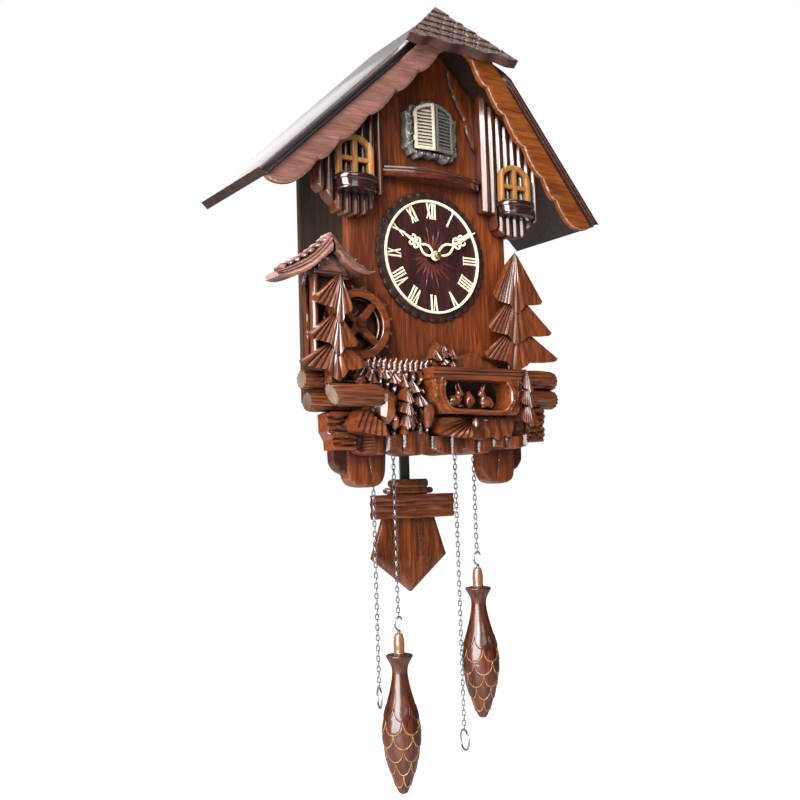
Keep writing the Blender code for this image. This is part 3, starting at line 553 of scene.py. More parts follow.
def fan(shell, apex, rim, apex_y, rim_y, back, ridges=4, depth=1.0, fade=0.7, rows=7, facets=False,
        undercut=0.0):
    """Ridges that spread from an apex to a rim."""
    apex = np.array(apex, float)
    rim = np.array(rim, float)
    tiny = apex + 0.03 * (rim - apex)
    patch(shell, tiny, rim, apex_y, rim_y, back, ridges, depth, fade=fade, rows=rows, facets=facets,
          undercut=undercut)


def log(shell, x, y, z, radius, grooves=15, depth=0.5, squash=1.0, seed=0.0, rows=15):
    """A barked log along x between the limits x, with its ends a little rounded."""
    columns = grooves * 4
    points = []
    for j in range(rows):
        t = j / (rows - 1)
        at = x[0] + (x[1] - x[0]) * t
        taper = 1 - 0.10 * max(0.0, 1 - min(t, 1 - t) * (rows - 1) / 1.2)
        for i in range(columns):
            a = 2 * math.pi * i / columns
            bark = depth * (abs(math.sin(grooves * a / 2 + 0.5 * math.sin(3 * t + seed))) - 0.5)
            r = (radius * (1 + 0.03 * math.sin(2.3 * t * 3 + seed + a)) + bark) * taper
            points.append((at, y + r * math.cos(a) * squash, z + r * math.sin(a)))
    shell.add(points, ring_faces(rows, columns))


def blob(shell, centre, size, seed=0.0, rough=0.10, turn=0.0, columns=28, rows=16):
    """A lumpy egg: size is its half-width on each axis, turned about y."""
    points = [(0.0, 0.0, 1.0)]
    for j in range(1, rows):
        polar = math.pi * j / rows
        for i in range(columns):
            a = 2 * math.pi * i / columns
            d = (math.sin(polar) * math.cos(a), math.sin(polar) * math.sin(a), math.cos(polar))
            swell = 1 + rough * (math.sin(3.1 * d[0] + seed) * math.cos(2.7 * d[2] + 1.7 * seed)
                                 + 0.6 * math.sin(5.3 * d[1] + 2.2 * seed + 4.1 * d[2]))
            points.append(tuple(c * swell for c in d))
    points.append((0.0, 0.0, -1.0))
    last = len(points) - 1
    faces = [(0, 1 + i, 1 + (i + 1) % columns) for i in range(columns)]
    for j in range(rows - 2):
        faces += [(1 + j * columns + i, 1 + (j + 1) * columns + i, 1 + (j + 1) * columns + (i + 1) % columns,
                   1 + j * columns + (i + 1) % columns) for i in range(columns)]
    faces += [(last, 1 + (rows - 2) * columns + (i + 1) % columns, 1 + (rows - 2) * columns + i)
              for i in range(columns)]
    c, s = math.cos(turn), math.sin(turn)
    placed = []
    for p in points:
        x, y, z = (p[k] * size[k] for k in range(3))
        placed.append((centre[0] + x * c + z * s, centre[1] + y, centre[2] - x * s + z * c))
    shell.add(placed, faces)


def tube(shell, line, radius, sides=8, closed=False, flat=1.0, normal=None):
    """A tube along a line of points, round or flattened along normal."""
    line = [Vector(p) for p in line]
    count = len(line)
    points = []
    side = Vector(normal) if normal else None
    for i, p in enumerate(line):
        if closed:
            tangent = (line[(i + 1) % count] - line[i - 1]).normalized()
        else:
            tangent = (line[min(i + 1, count - 1)] - line[max(i - 1, 0)]).normalized()
        if side is None:
            side = tangent.orthogonal().normalized()
        first = (side - side.dot(tangent) * tangent).normalized()
        second = tangent.cross(first)
        if normal is None:
            side = first
        r = radius[i] if isinstance(radius, (list, tuple)) else radius
        for k in range(sides):
            a = 2 * math.pi * k / sides
            points.append(p + first * (r * flat * math.cos(a)) + second * (r * math.sin(a)))
    shell.add(points, ring_faces(count, sides, closed))


def block(shell, x, y, z, bevel=0.6):
    """A bevelled block between limits on each axis."""
    bm = bmesh.new()
    bmesh.ops.create_cube(bm, size=1.0)
    for vert in bm.verts:
        for axis, (low, high) in enumerate((x, y, z)):
            vert.co[axis] = low if vert.co[axis] < 0 else high
    bmesh.ops.bevel(bm, geom=bm.edges[:], offset=bevel, segments=2, profile=0.5, affect="EDGES")
    bm.verts.index_update()
    shell.add([tuple(v.co) for v in bm.verts], [tuple(v.index for v in f.verts) for f in bm.faces])
    bm.free()


def lathe(shell, profile, centre, columns=64, shape=None):
    """A turned solid about the vertical through centre: profile is (radius, z) from the top down, and
    shape(z, angle) is a radius to add."""
    points = []
    for r, z in profile:
        for i in range(columns):
            a = 2 * math.pi * i / columns
            radius = max(0.01, r + (shape(z, a) if shape else 0.0))
            points.append((centre[0] + radius * math.sin(a), centre[1] - radius * math.cos(a), centre[2] + z))
    shell.add(points, ring_faces(len(profile), columns))


def circle_line(radius, count, x=0.0, z=0.0):
    return [(x + radius * math.cos(2 * math.pi * i / count), z + radius * math.sin(2 * math.pi * i / count))
            for i in range(count)]


def flipped(points, side):
    return [(side * p[0], *p[1:]) for p in points]


# ---------------------------------------------------------------------------------- roof and case
RIDGE_Z = 214.3
SLOPE = 0.9452
PITCH = math.atan(SLOPE)
EAVE_Z = 47.0


def roof_under(x):
    """The height just under a roof board."""
    return RIDGE_Z - 11.9 - SLOPE * abs(x)


def below_roof(x, depth):
    """The height at a depth below the roof's top, measured square to the slope."""
    return RIDGE_Z - SLOPE * x - depth / math.cos(PITCH)


def line_distance(x, z, line):
    """How far each point (x, z) is from a line that needn't be closed."""
    points = np.stack([x, z], axis=1)
    best = np.full(len(points), 1e9)
    for a, b in zip(line, line[1:]):
        a, b = np.array(a), np.array(b)
        ab = b - a
        t = np.clip(((points - a) @ ab) / max((ab ** 2).sum(), 1e-12), 0, 1)
        best = np.minimum(best, np.linalg.norm(points - a - t[:, None] * ab, axis=1))
    return best


def groove(gap, width, depth):
    """A rounded channel: how deep it is at a distance from its middle."""
    return depth * np.sqrt(np.clip(1 - (gap / width) ** 2, 0, 1))


def build_front():
    """The gable board, with a curved groove carved down to the right of the cuckoo's door and painted dark
    red inside as painted shade.
    """
    half, low = 84.0, -121.5
    outline = [(-half, low), (half, low), (half, roof_under(half)), (0, roof_under(0)),
               (-half, roof_under(half))]
    opening = [(-18.5, 92), (18.5, 92), (18.5, 130), (-18.5, 130)]
    shaft = circle_line(4.0, 24)
    curve = smooth_line([(25, 172), (29.5, 156), (36.8, 141), (42.0, 132), (44.3, 122.6), (48.1, 113.7),
                         (54.4, 103.8), (61.0, 98.7)], 8)

    def face(x, z, gap):
        return groove(line_distance(x, z, curve), 1.6, 2.2)

    seeds = [(p[0] + o, p[1]) for p in curve for o in (-1.6, -0.8, 0.0, 0.8, 1.6)]
    shell = Shell()
    relief(shell, outline, 9.0, face, 4.0, 0.7, [opening, shaft], seeds)
    piece = make("front_board_wood", shell, FACADE, replaces="front_board")
    # Painted shade: the faces in the groove are painted dark red.
    paint(piece, DARK_RED, lambda c, n: c.y < 4 and 20 < c.x < 66 and c.z > 95
          and line_distance(np.array([c.x]), np.array([c.z]), curve)[0] < 1.3)


def fascia_outline():
    """The right barge board's outline, from the peak along its top edge and back along its lobes."""
    cusps = [17.0, 36.0, 57.4, 82.0, 107.0, 125.5]
    outline = [(1.0, 168.0), ((RIDGE_Z - 11.5 - 168.0) / SLOPE, 168.0), (170.5, below_roof(170.5, 8.4))]
    foot = [(170.5, below_roof(170.5, 8.4)), (166, 38.7), (158, 37.6), (150, 38.7), (143, 41.8), (137, 46.5),
            (132, 51.5), (128, 57), (cusps[-1], below_roof(cusps[-1], 25.5))]
    lobes = smooth_line(foot, 3)[1:-1]
    for high, low in zip(cusps[::-1], cusps[-2::-1]):
        for step in range(12):
            x = high + (low - high) * step / 12
            lobes.append((x, below_roof(x, 25.5 + 3.2 * math.sin(math.pi * (step / 12) ** 0.85))))
    lobes.append((cusps[0], below_roof(cusps[0], 25.5)))
    return outline + lobes + [(1.0, below_roof(1.0, 30.0))], lobes


def build_fascias():
    """The two barge boards: their lobed edge is rounded over, and its front is painted with a pale wood as a
    painted highlight.
    """
    outline, lobes = fascia_outline()
    # The left board takes the paler copy of the wood, as painted sheen.
    for word, side, material in (("left", -1, FASCIA_LEFT_SHEEN), ("right", 1, FASCIA_RIGHT)):
        edge = flipped(outline, side)
        follow = flipped(lobes, side)

        def face(x, z, gap, follow=follow):
            near = line_distance(x, z, follow)
            return -26.5 - 0.18 * (z - EAVE_Z) + 0.9 * np.clip(1 - near / 1.3, 0, 1)

        shell = Shell()
        relief(shell, edge, 0.0, face, 2.4, 0.5, seeds=[(x, z + o) for x, z in follow for o in (0.7, 1.3)])
        lean_back(shell, -21.5)
        piece = make(f"{word}_fascia_board", shell, material, replaces=f"{word}_fascia", smooth=30)
        # Painted highlight: pale wood along the front of the lobed edge.
        paint(piece, PAINTED_HIGHLIGHT_EDGE, lambda c, n, follow=follow: n.y < -0.3
              and line_distance(np.array([c.x]), np.array([c.z]), follow)[0] < 0.95)


def lean_back(shell, flat_y):
    """Moves a fascia's flat back from y = 0 to its leaning plane."""
    shell.points = [(x, flat_y - 0.18 * (z - EAVE_Z), z) if y == 0.0 else (x, y, z)
                    for x, y, z in shell.points]


def build_cap():
    """The half-hip: staggered shingles in courses over the slab, with dark joints and a lobed lower edge; the
    slab's edges and underside are painted dark red as painted shade.
    """
    apex, corner = np.array((0, -20, 219.0)), np.array((57.1, -60.8, 167.0))
    rise = math.hypot(apex[1] - corner[1], apex[2] - corner[2])
    up = np.array((0, apex[1] - corner[1], apex[2] - corner[2])) / rise
    out = np.array((0, up[2], -up[1])) * -1
    thick = 8.0
    lobes = smooth_line([(57.1, 0.0), (45, -2.0), (33, 1.5), (18, -2.0), (0, 3.0), (-18, -2.0), (-33, 1.5),
                         (-45, -2.0), (-57.1, 0.0)], 6)
    outline = lobes + [(0, rise)]
    courses, wide = 6, 12.5

    def joint(x, z):
        """1 in the middle of the joint between two shingles, 0 over the rest of the course."""
        row = np.floor(np.clip(z / rise * courses, 0, courses - 1e-6))
        off = np.abs(((x / wide + 0.5 * (row % 2)) % 1.0) - 0.5) * 2
        return np.clip((off - 0.86) / 0.07, 0, 1)

    def face(x, z, gap):
        course = np.clip(z / rise * courses, 0, courses - 1e-6)
        row = np.floor(course)
        lap = 1.3 * (course - row) * np.where(row > courses - 1.5, 0.3, 1.0)
        return lap + 1.1 * joint(x, z) * (gap > 1.0)

    flat = Shell()
    seeds = [(x, rise * row / courses + o) for row in range(1, courses) for x in np.arange(-56, 56, 1.4)
             for o in (-0.12, 0.12)]
    for row in range(courses):
        for place in np.arange(-5, 6):
            x = wide * (place - 0.5 * (row % 2))
            seeds += [(x + o, rise * (row + step) / courses) for o in (-0.9, -0.4, 0.4, 0.9)
                      for step in (0.1, 0.3, 0.5, 0.7, 0.9)]
    relief(flat, outline, thick, face, 1.8, 0.4, seeds=seeds)
    origin = np.array((0, corner[1], corner[2]))
    points = [origin + up * v + np.array((u, 0, 0)) - out * y for u, y, v in flat.points]
    shell = Shell()
    shell.add(points, flat.faces)
    piece = make("roof_cap_shingles", shell, SHINGLE, replaces="roof_cap", smooth=20)
    # Painted shade on the slab's edges and underside, and dark joints between the shingles, both in dark red.
    paint(piece, DARK_RED, lambda c, n: n.z < 0.25 or (abs(n.x) < 0.9 and joint(c.x, (c.z - corner[2] - 3.0)
                                                                                / up[2]) > 0.5))


def roof_front(x):
    """Where a roof board's front edge is: furthest out at the hip's corner, and set back either side."""
    on_gable = -29.5 - 28.0 * (1 - x / 177.0)
    at_hip = -29.5 - 28.0 * (1 - 57.0 / 177.0)
    return on_gable if x >= 57.0 else -13.0 + (at_hip + 13.0) * x / 57.0


def build_roofs():
    """The two roof boards: a plain top, and a thick front edge with a bevel above and a step below."""
    for word, side in SIDES:
        shell = Shell()
        rows = []
        for x in np.linspace(0.3, 177.0, 31):
            top = RIDGE_Z - SLOPE * x - 0.45
            low_x = min(x, 177.0 - 8.0 * math.sin(PITCH))
            low = RIDGE_Z - 11.0 - SLOPE * low_x
            front = roof_front(x)
            groove_z = top - 0.55 * (top - low)
            section = [(x, front + 3.4, top), (x, front + 0.9, top - 2.0), (x, front, top - 3.2),
                       (low_x, front, groove_z), (low_x, front + 1.3, groove_z - 0.9),
                       (low_x, front + 1.3, low + 0.8), (low_x, front + 2.0, low), (low_x, 83.0, low),
                       (x, 83.0, top)]
            rows.append([(side * p[0], p[1], p[2]) for p in section])
        loft(shell, rows)
        piece = make(f"{word}_roof_board", shell, ROOF, replaces=f"{word}_roof", smooth=30)
        # Painted sheen: the top faces take the paler wood.
        paint(piece, ROOF_TOP_SHEEN, lambda c, n: n.z > 0.5)
        # Painted shade: the front faces take the near-black wood.
        paint(piece, ROOF_EDGE_SHADE, lambda c, n: n.y < -0.6)
        # Painted shade: on the right board only, the underside and the lower part of the front edge are
        # painted dark red.
        if side > 0:
            paint(piece, DARK_RED, lambda c, n: c.y < -10 and n.z < -0.3)
            paint(piece, DARK_RED, lambda c, n: c.y < -10 and n.y < -0.6
                  and c.z < RIDGE_Z - SLOPE * c.x - 7.0)


RIB_FACE = ((0, 3.6), (0.05, 3.2), (0.24, 0.9), (0.36, 0.2), (0.50, 0.0), (0.64, 0.2), (0.78, 0.9),
            (0.95, 3.2))
RIB_LOW = ((53.2, 44.5), (66.0, 44.2), (66.4, 31.5), (70, 28.5), (74, 25.8), (86, 24.6), (95, 25.4),
           (101, 27.5), (104, 34), (110, 39.5), (118.7, 45.0))


def build_ribs():
    """Flattened staves side by side under each eave, down to the panel's carved lower edge."""
    pitch, first, last = 8.2, 53.2, 118.7
    xs = [(first + pitch * (i + u), depth) for i in range(8) for u, depth in RIB_FACE]
    xs = [(x, depth) for x, depth in xs if x < last] + [(last, 3.6)]
    edge_x, edge_z = zip(*RIB_LOW)
    for word, side in SIDES:
        shell = Shell()
        rows = []
        for x, depth in xs:
            low = float(np.interp(x, edge_x, edge_z)) + 0.5 * depth
            high = roof_under(x)
            y = -13.0 + depth
            section = [(BOARD_BACK, high), (y, high), (y, low + 2.2), (y + 0.9, low + 0.5), (y + 2.4, low),
                       (BOARD_BACK, low)]
            rows.append([(side * x, at, z) for at, z in section])
        loft(shell, rows)
        make(f"{word}_rib_staves", shell, RIBS, replaces=f"{word}_rib_panel", smooth=22)


def build_windows():
    """The little arched windows: a golden frame with a moulded edge and a cross of bars, open between."""
    centre, half, low, spring, top = 85.1, 17.5, 55.3, 78.0, 90.3
    arch = [(centre + half * math.cos(math.pi * i / 20), spring + (top - spring) * math.sin(math.pi * i / 20))
            for i in range(21)]
    frame_edge = [(centre - half, low), (centre + half, low)] + arch
    pane_arch = [(centre - 12.5, 79.5), (centre - 9.6, 82.8), (centre - 6.4, 84.6), (centre - 2.4, 85.6)]
    panes = [[(centre - 12.5, 58.5), (centre - 2.4, 58.5), (centre - 2.4, 68), (centre - 12.5, 68)],
             [(centre + 2.4, 58.5), (centre + 12.5, 58.5), (centre + 12.5, 68), (centre + 2.4, 68)],
             [(centre - 12.5, 72), (centre - 2.4, 72)] + pane_arch[::-1],
             [(centre + 2.4, 72), (centre + 12.5, 72)] + [(2 * centre - x, z) for x, z in pane_arch]]

    def face(x, z, gap):
        u = np.abs(x) - centre
        rim = np.maximum(np.abs(u) / half, (z - spring) / (top - spring))
        return -18.5 + 0.8 * np.clip((0.80 - rim) / 0.05, 0, 1)

    for word, side in SIDES:
        shell = Shell()
        relief(shell, flipped(frame_edge, side), -13.3, face, 1.1, 0.7, [flipped(p, side) for p in panes])
        make(f"{word}_window_frame", shell, GOLDEN, replaces=f"{word}_window")


def build_flower_boxes():
    """Half-round window boxes with an upper and a lower rim."""
    centre = 85.1
    profile = [(0.90, 42.0), (0.95, 42.4), (0.97, 43.2), (0.95, 44.2), (0.90, 44.8), (0.89, 45.6),
               (0.93, 48.2), (0.92, 49.8), (0.93, 50.4), (0.985, 51.0), (1.0, 52.4), (0.99, 54.2),
               (0.95, 55.0), (0.86, 54.9), (0.82, 53.4)]
    for word, side in SIDES:
        shell = Shell()
        steps = 32
        rows = []
        for scale, z in profile:
            row = [(centre + 19 * scale, -13.3)]
            row += [(centre + 19 * scale * math.cos(math.pi * i / steps), -18 - (12 * scale) * math.sin(
                math.pi * i / steps)) for i in range(steps + 1)]
            row += [(centre - 19 * scale, -13.3)]
            rows.append([(side * x, y, z) for x, y in row])
        loft(shell, rows)
        make(f"{word}_flower_trough", shell, DARK_GLOSS, replaces=f"{word}_flower_box")


def build_balcony():
    """The bowed sill under the cuckoo's door: a flat polished band under a thin projecting lip."""
    shell = Shell()
    profile = [(0.6, 64.5), (1.5, 64.6), (1.7, 65.0), (1.7, 69.7), (1.4, 70.1), (2.5, 70.5), (2.9, 71.0),
               (2.9, 72.2), (2.4, 72.7), (1.4, 72.8)]
    steps = 48
    rows = []
    for out, z in profile:
        row = []
        for i in range(steps + 1):
            bow = -5.1 - 12 * math.sin(math.pi * i / steps) - out
            row.append((-51 + 102 * i / steps, bow, z))
        rows.append([(51, BOARD_BACK, z)] + row[::-1] + [(-51, BOARD_BACK, z)])
    loft(shell, rows)
    make("balcony_sill", shell, BALCONY, replaces="balcony", smooth=30)


# ---------------------------------------------------------------------------------- dial and hands
def bar(shell, start, end, width, y, lift):
    """One stroke of a numeral."""
    a, b = np.array(start), np.array(end)
    d = (b - a) / np.linalg.norm(b - a)
    n = np.array((-d[1], d[0])) * width / 2
    ring = [a - n, b - n, b + n, a + n]
    inner = [a - n * 0.5 + d * 0.2, b - n * 0.5 - d * 0.2, b + n * 0.5 - d * 0.2, a + n * 0.5 + d * 0.2]
    shell.add([(p[0], y, p[1]) for p in ring] + [(p[0], y - lift, p[1]) for p in inner],
              BOX_FACES)


NUMERALS = ("XII", "I", "II", "III", "IIII", "V", "VI", "VII", "VIII", "IX", "X", "XI")
DIAL_TOP = -3.05
GLYPHS = {"I": (2.7, [((1.35, 0), (1.35, 1))]),
          "V": (5.2, [((0.8, 1), (2.6, 0)), ((2.6, 0), (4.4, 1))]),
          "X": (5.2, [((0.8, 0), (4.4, 1)), ((0.8, 1), (4.4, 0))])}


def build_numerals():
    shell = Shell()
    height, radius = 13.6, 40.4
    for hour, word in enumerate(NUMERALS):
        width = sum(GLYPHS[c][0] for c in word)
        turn = -math.radians(30 * hour)
        c, s = math.cos(turn), math.sin(turn)

        def put(u, v, c=c, s=s):
            v = radius + height * (v - 0.5)
            return (u * c - v * s, u * s + v * c)

        at = -width / 2
        for letter in word:
            wide, strokes = GLYPHS[letter]
            for (u0, v0), (u1, v1) in strokes:
                thick = 1.1 if letter != "I" and v0 < v1 else 1.75
                bar(shell, put(at + u0, v0), put(at + u1, v1), thick, DIAL_TOP, 0.7)
            if letter == "I":
                for v in (0, 1):
                    bar(shell, put(at + 0.1, v), put(at + wide - 0.1, v), 0.7, DIAL_TOP, 0.6)
            else:
                for u in (0.8, 4.4):
                    bar(shell, put(at + u - 0.9, 1), put(at + u + 0.9, 1), 0.7, DIAL_TOP, 0.6)
            at += wide
    make("dial_numerals", shell, IVORY)


def build_rosette():
    """A dark scalloped plate with a raised rim."""
    scallops = 36
    edge = []
    for i in range(scallops * 8):
        a = 2 * math.pi * i / (scallops * 8)
        r = 55.9 + 1.4 * abs(math.cos(scallops * a / 2)) ** 0.8
        edge.append((r * math.cos(a), r * math.sin(a)))

    def face(x, z, gap):
        r = np.hypot(x, z)
        a = np.arctan2(z, x)
        y = np.full(len(x), -3.0)
        y = np.where(r > 50.3, -3.0 + 0.5 * np.clip(r - 50.3, 0, 1), y)
        crest = np.abs(np.cos(scallops * a / 2))
        y = np.where(r > 51.3, -2.6 + 0.9 * (1 - crest) * np.clip((r - 51.3) / 3.0, 0, 1), y)
        return y

    shell = Shell()
    relief(shell, edge, BOARD_BACK, face, 1.5, 0.8, [circle_line(4.0, 24)])
    plate = make("dial_rosette", shell, DIAL_FACE, replaces="dial_plate", smooth=30)
    plate.data.materials.append(DIAL_RIM)
    for polygon in plate.data.polygons:
        centre = polygon.center / MM
        if math.hypot(centre.x, centre.z - DIAL_Z / MM) > 50.2:
            polygon.material_index = 1


def build_ring():
    ring = Shell()
    profile = [(50.0, -3.1), (50.0, -4.4), (49.7, -4.9), (49.3, -5.0), (48.2, -4.7), (47.8, -4.2),
               (47.8, -3.1)]
    count = 128
    points = [(r * math.sin(2 * math.pi * i / count), y, r * math.cos(2 * math.pi * i / count))
              for r, y in profile for i in range(count)]
    ring.add(points, ring_faces(len(profile), count, looped=True))
    make("dial_ring", ring, IVORY, replaces="chapter_ring")


def build_sunburst():
    """Twelve long and twelve short flames round the hub, each with a raised middle."""
    flames = Shell()
    for i in range(12):
        a = math.pi / 6 * i + math.pi / 12
        for turn, reach, wide in ((0.0, 29.5, 2.9), (math.pi / 12, 22.0, 2.3)):
            d = np.array((math.sin(a + turn), math.cos(a + turn)))
            n = np.array((d[1], -d[0]))
            length = reach - 7.0
            left, right = [], []
            for k in range(9):
                t = k / 8
                w = wide * (1 - t) ** 0.7 * (0.55 + 0.45 * math.cos(3 * t))
                bend = 1.3 * math.sin(2.6 * t)
                middle = d * (7.0 + length * t) + n * bend
                left.append(middle + n * w)
                right.append(middle - n * w)
            sections = [(a, (a + b) / 2, b) for a, b in zip(left, right)]
            points = [(p[0], DIAL_TOP - (0.9 * (1 - k / 9) if j == 1 else 0.0), p[1])
                      for k, section in enumerate(sections) for j, p in enumerate(section)]
            faces = [(k * 3 + j, k * 3 + j + 1, k * 3 + j + 4, k * 3 + j + 3) for k in range(8)
                     for j in range(2)]
            faces += [(k * 3, (k + 1) * 3, (k + 1) * 3 + 2, k * 3 + 2) for k in range(8)]
            faces += [(0, 1, 2), (24, 25, 26)]
            flames.add(points, faces)
    make("dial_sunburst", flames, DIAL_FLAME, smooth=50)


def ribbon(shell, line, widths, y, thick):
    """A flat ribbon in the x-z plane, with a raised middle."""
    line = [np.array(p, float) for p in line]
    points = []
    for i, p in enumerate(line):
        d = line[min(i + 1, len(line) - 1)] - line[max(i - 1, 0)]
        d /= max(np.linalg.norm(d), 1e-9)
        n = np.array((-d[1], d[0])) * widths[i]
        for offset, depth in ((1, y + thick), (1, y + 0.35), (0.6, y), (-0.6, y), (-1, y + 0.35),
                              (-1, y + thick)):
            q = p + n * offset
            points.append((q[0], depth, q[1]))
    shell.add(points, ring_faces(len(line), 6))


def hand_shell(length, angle, y, thick):
    """A pierced hand: an open teardrop beside the hub, a pair of curls, and a plain pointed tip."""
    shell = Shell()
    k = length
    size = k / 50.0
    for side in (-1, 1):
        loop = smooth_line([(0.3 * side, 0.06 * k), (2.7 * side, 0.12 * k), (4.3 * side, 0.22 * k),
                            (3.9 * side, 0.31 * k), (2.0 * side, 0.39 * k), (0.3 * side, 0.46 * k)], 6)
        ribbon(shell, loop, [1.0] * len(loop), y, thick)
        low = smooth_line([(0.2 * side, 0.47 * k), (2.6 * side, 0.47 * k), (4.7 * side, 0.51 * k),
                           (4.4 * side, 0.56 * k), (2.8 * side, 0.56 * k), (2.7 * side, 0.53 * k)], 5)
        ribbon(shell, low, [0.95 - 0.25 * i / len(low) for i in range(len(low))], y, thick)
        high = smooth_line([(0.3 * side, 0.62 * k), (2.3 * side, 0.60 * k), (4.3 * side, 0.63 * k),
                            (4.2 * side, 0.69 * k), (2.5 * side, 0.69 * k)], 5)
        ribbon(shell, high, [0.9 - 0.25 * i / len(high) for i in range(len(high))], y, thick)
    stem = [(0, 0.45 * k), (0, 0.56 * k), (0, 0.64 * k), (0, 0.70 * k), (0, 0.86 * k), (0, k)]
    ribbon(shell, stem, [1.3, 1.2, 1.6, 1.5, 1.05 * size, 0.35], y, thick)
    hub = circle_line(3.1, 24)
    ribbon(shell, hub + hub[:1], [1.1] * 25, y, thick)
    c, s = math.cos(angle), math.sin(angle)
    shell.points = [(px * c + pz * s, py, -px * s + pz * c) for px, py, pz in shell.points]
    return shell


def build_hands():
    hour = hand_shell(40.0, math.radians(-62), -7.2, 0.8)
    make("hour_pointer", hour, IVORY, body="hour_hand", replaces="hour_hand", smooth=40)
    minute = hand_shell(50.0, math.radians(60), -9.0, 0.8)
    make("minute_pointer", minute, IVORY, body="minute_hand", replaces="minute_hand", smooth=40)
    shell = Shell()
    profile = [(0.02, -12.6), (2.1, -12.6), (2.7, -12.2), (3.1, -11.6), (3.2, -9.6), (3.0, -9.3),
               (0.02, -9.3)]
    count = 40
    points = []
    for r, y in profile:
        for i in range(count):
            a = 2 * math.pi * i / count
            ridged = r * (1.0 if r < 3.05 or i % 2 else 0.93)
            points.append((ridged * math.sin(a), y, ridged * math.cos(a)))
    shell.add(points, ring_faces(len(profile), count))
    make("hand_nut_brass", shell, BRASS, body="minute_hand", replaces="hand_nut", smooth=30)


# ---------------------------------------------------------------------------------- cuckoo's door
def build_plaque():
    """The cast plaque round the cuckoo's door: a wavy edge, scrolls and a sill of leaves."""
    half = smooth_line([(0, 138.5), (4, 137.2), (9, 136), (13, 131.6), (17, 131), (20.5, 131.6), (23, 129),
                        (24.3, 125.5), (27.9, 124), (26.6, 116), (27.6, 108), (26.2, 100), (27.9, 93),
                        (24.5, 91), (22, 87), (19, 88.6), (16, 84.5), (12, 86), (8, 88), (0, 86.6)], 5)
    edge = half + [(-x, z) for x, z in half[-2:0:-1]]
    opening = [(-18.5, 92), (18.5, 92), (18.5, 126), (-18.5, 126)]
    curls = []
    for side in (-1, 1):
        for cx, cz, r, start in ((23.2, 97, 2.9, 0.5), (23.0, 105.5, 2.6, 3.0), (23.2, 114, 2.8, 0.8),
                                 (22.2, 122.5, 2.9, 3.4), (14.5, 129.0, 2.4, 0.2), (7.0, 131.6, 2.8, 2.2),
                                 (18.5, 89.0, 2.0, 1.0), (10.5, 89.6, 1.9, 2.6), (3.3, 89.6, 1.8, 0.0)):
            curls.append([(side * (cx + r * (1 - 0.09 * i) * math.cos(start + 0.62 * i)),
                           cz + r * (1 - 0.09 * i) * math.sin(start + 0.62 * i)) for i in range(10)])

    def face(x, z, gap):
        y = -7.6 - 0.5 * np.clip(gap / 2.5, 0, 1)
        near = np.full(len(x), 1e9)
        for curl in curls:
            near = np.minimum(near, line_distance(x, z, curl))
        y = y - 1.3 * np.sqrt(np.clip(1 - (near / 0.95) ** 2, 0, 1))
        return np.maximum(y, -9.4)

    shell = Shell()
    relief(shell, edge, BOARD_BACK, face, 0.8, 0.8, [opening])
    make("shutter_plaque_cast", shell, PEWTER, replaces="shutter_plaque", smooth=50)


def shutter_shell(side):
    """A louvred leaf: a frame, its arched head, and slats that tilt out."""
    shell = Shell()
    y0, y1 = -11.5, -9.7
    lowest, spring = 91.5, 126.0
    arch = [(20.3, 126.0), (17.6, 128.4), (14.0, 130.3), (10.5, 131.7), (7.0, 132.7), (3.6, 133.3),
            (0.4, 133.5)]
    edge = [(0.4, lowest), (20.3, lowest)] + arch
    hole = [(3.4, 94.6), (17.4, 94.6), (17.4, 125.0), (14.0, 127.3), (7.0, 129.8), (3.4, 130.4)]
    relief(shell, flipped(edge, side), y1, y0, 2.0, 0.35, [flipped(hole, side)])
    z = 95.8
    while z < spring + 1.5:
        wide = 17.6 if z < 124 else 13.5
        ring = [(-11.5, z + 0.1), (-11.2, z - 0.6), (-10.0, z + 1.5), (-9.9, z + 2.1)]
        points = [(side * x, y, zz) for x in (3.2, wide) for y, zz in ring]
        shell.add(points, BOX_FACES)
        z += 3.0
    for knuckle in (98.0, 119.0):
        tube(shell, [(side * 20.6, -10.6, knuckle), (side * 20.6, -10.6, knuckle + 5)], 0.75, 10)
    return shell


def build_shutters():
    # The left shutter takes the paler pewter as painted glare; the right one takes the plain pewter.
    for word, side, material, slot in (("left", -1, PEWTER_GLARE, "cream"), ("right", 1, PEWTER, "pewter")):
        turn = ((side * 20.6, -10.6, 112), "Z", side * math.radians(8.0))
        make(f"{word}_shutter_louvres", shutter_shell(side), material, body=f"{word}_shutter",
             replaces=f"{word}_shutter", turn=turn, smooth=30)


build_front()
build_fascias()
build_cap()
build_roofs()
build_ribs()
build_windows()
build_flower_boxes()
build_balcony()
build_rosette()
build_ring()
build_sunburst()
build_numerals()
build_hands()
build_plaque()
build_shutters()


# ---------------------------------------------------------------------------------- mill and trees
def build_mill_backing():
    """The rough board behind the mill."""
    backing = smooth_line([(-127, -97.7), (-127, -60), (-127, -28.3), (-100, -28.3), (-85, -28.3), (-75, -32),
                           (-58, -38), (-48, -48), (-44, -65), (-42, -85), (-44, -97.7)], 3)

    def board(x, z, gap):
        return -5.4 + 0.5 * np.sin(x / 3.1 + 1.6 * np.sin(z / 9.0)) ** 4

    shell = Shell()
    relief(shell, backing, BOARD_BACK, board, 2.2, 0.9)
    make("mill_backing", shell, RIBS, replaces="scene_backing")


def build_mill_post():
    post = Shell()
    rows = []
    for i in range(12):
        z = -99.4 + 71.1 * i / 11
        swell = 1 + 0.05 * math.sin(1.9 * i)
        rows.append([(-123.7 + 3.2 * swell * math.cos(a), -11.3 + 4.6 * math.sin(a), z)
                     for a in (2 * math.pi * k / 20 for k in range(20))])
    loft(post, rows)
    make("mill_post_turned", post, CARVED, replaces="mill_post")


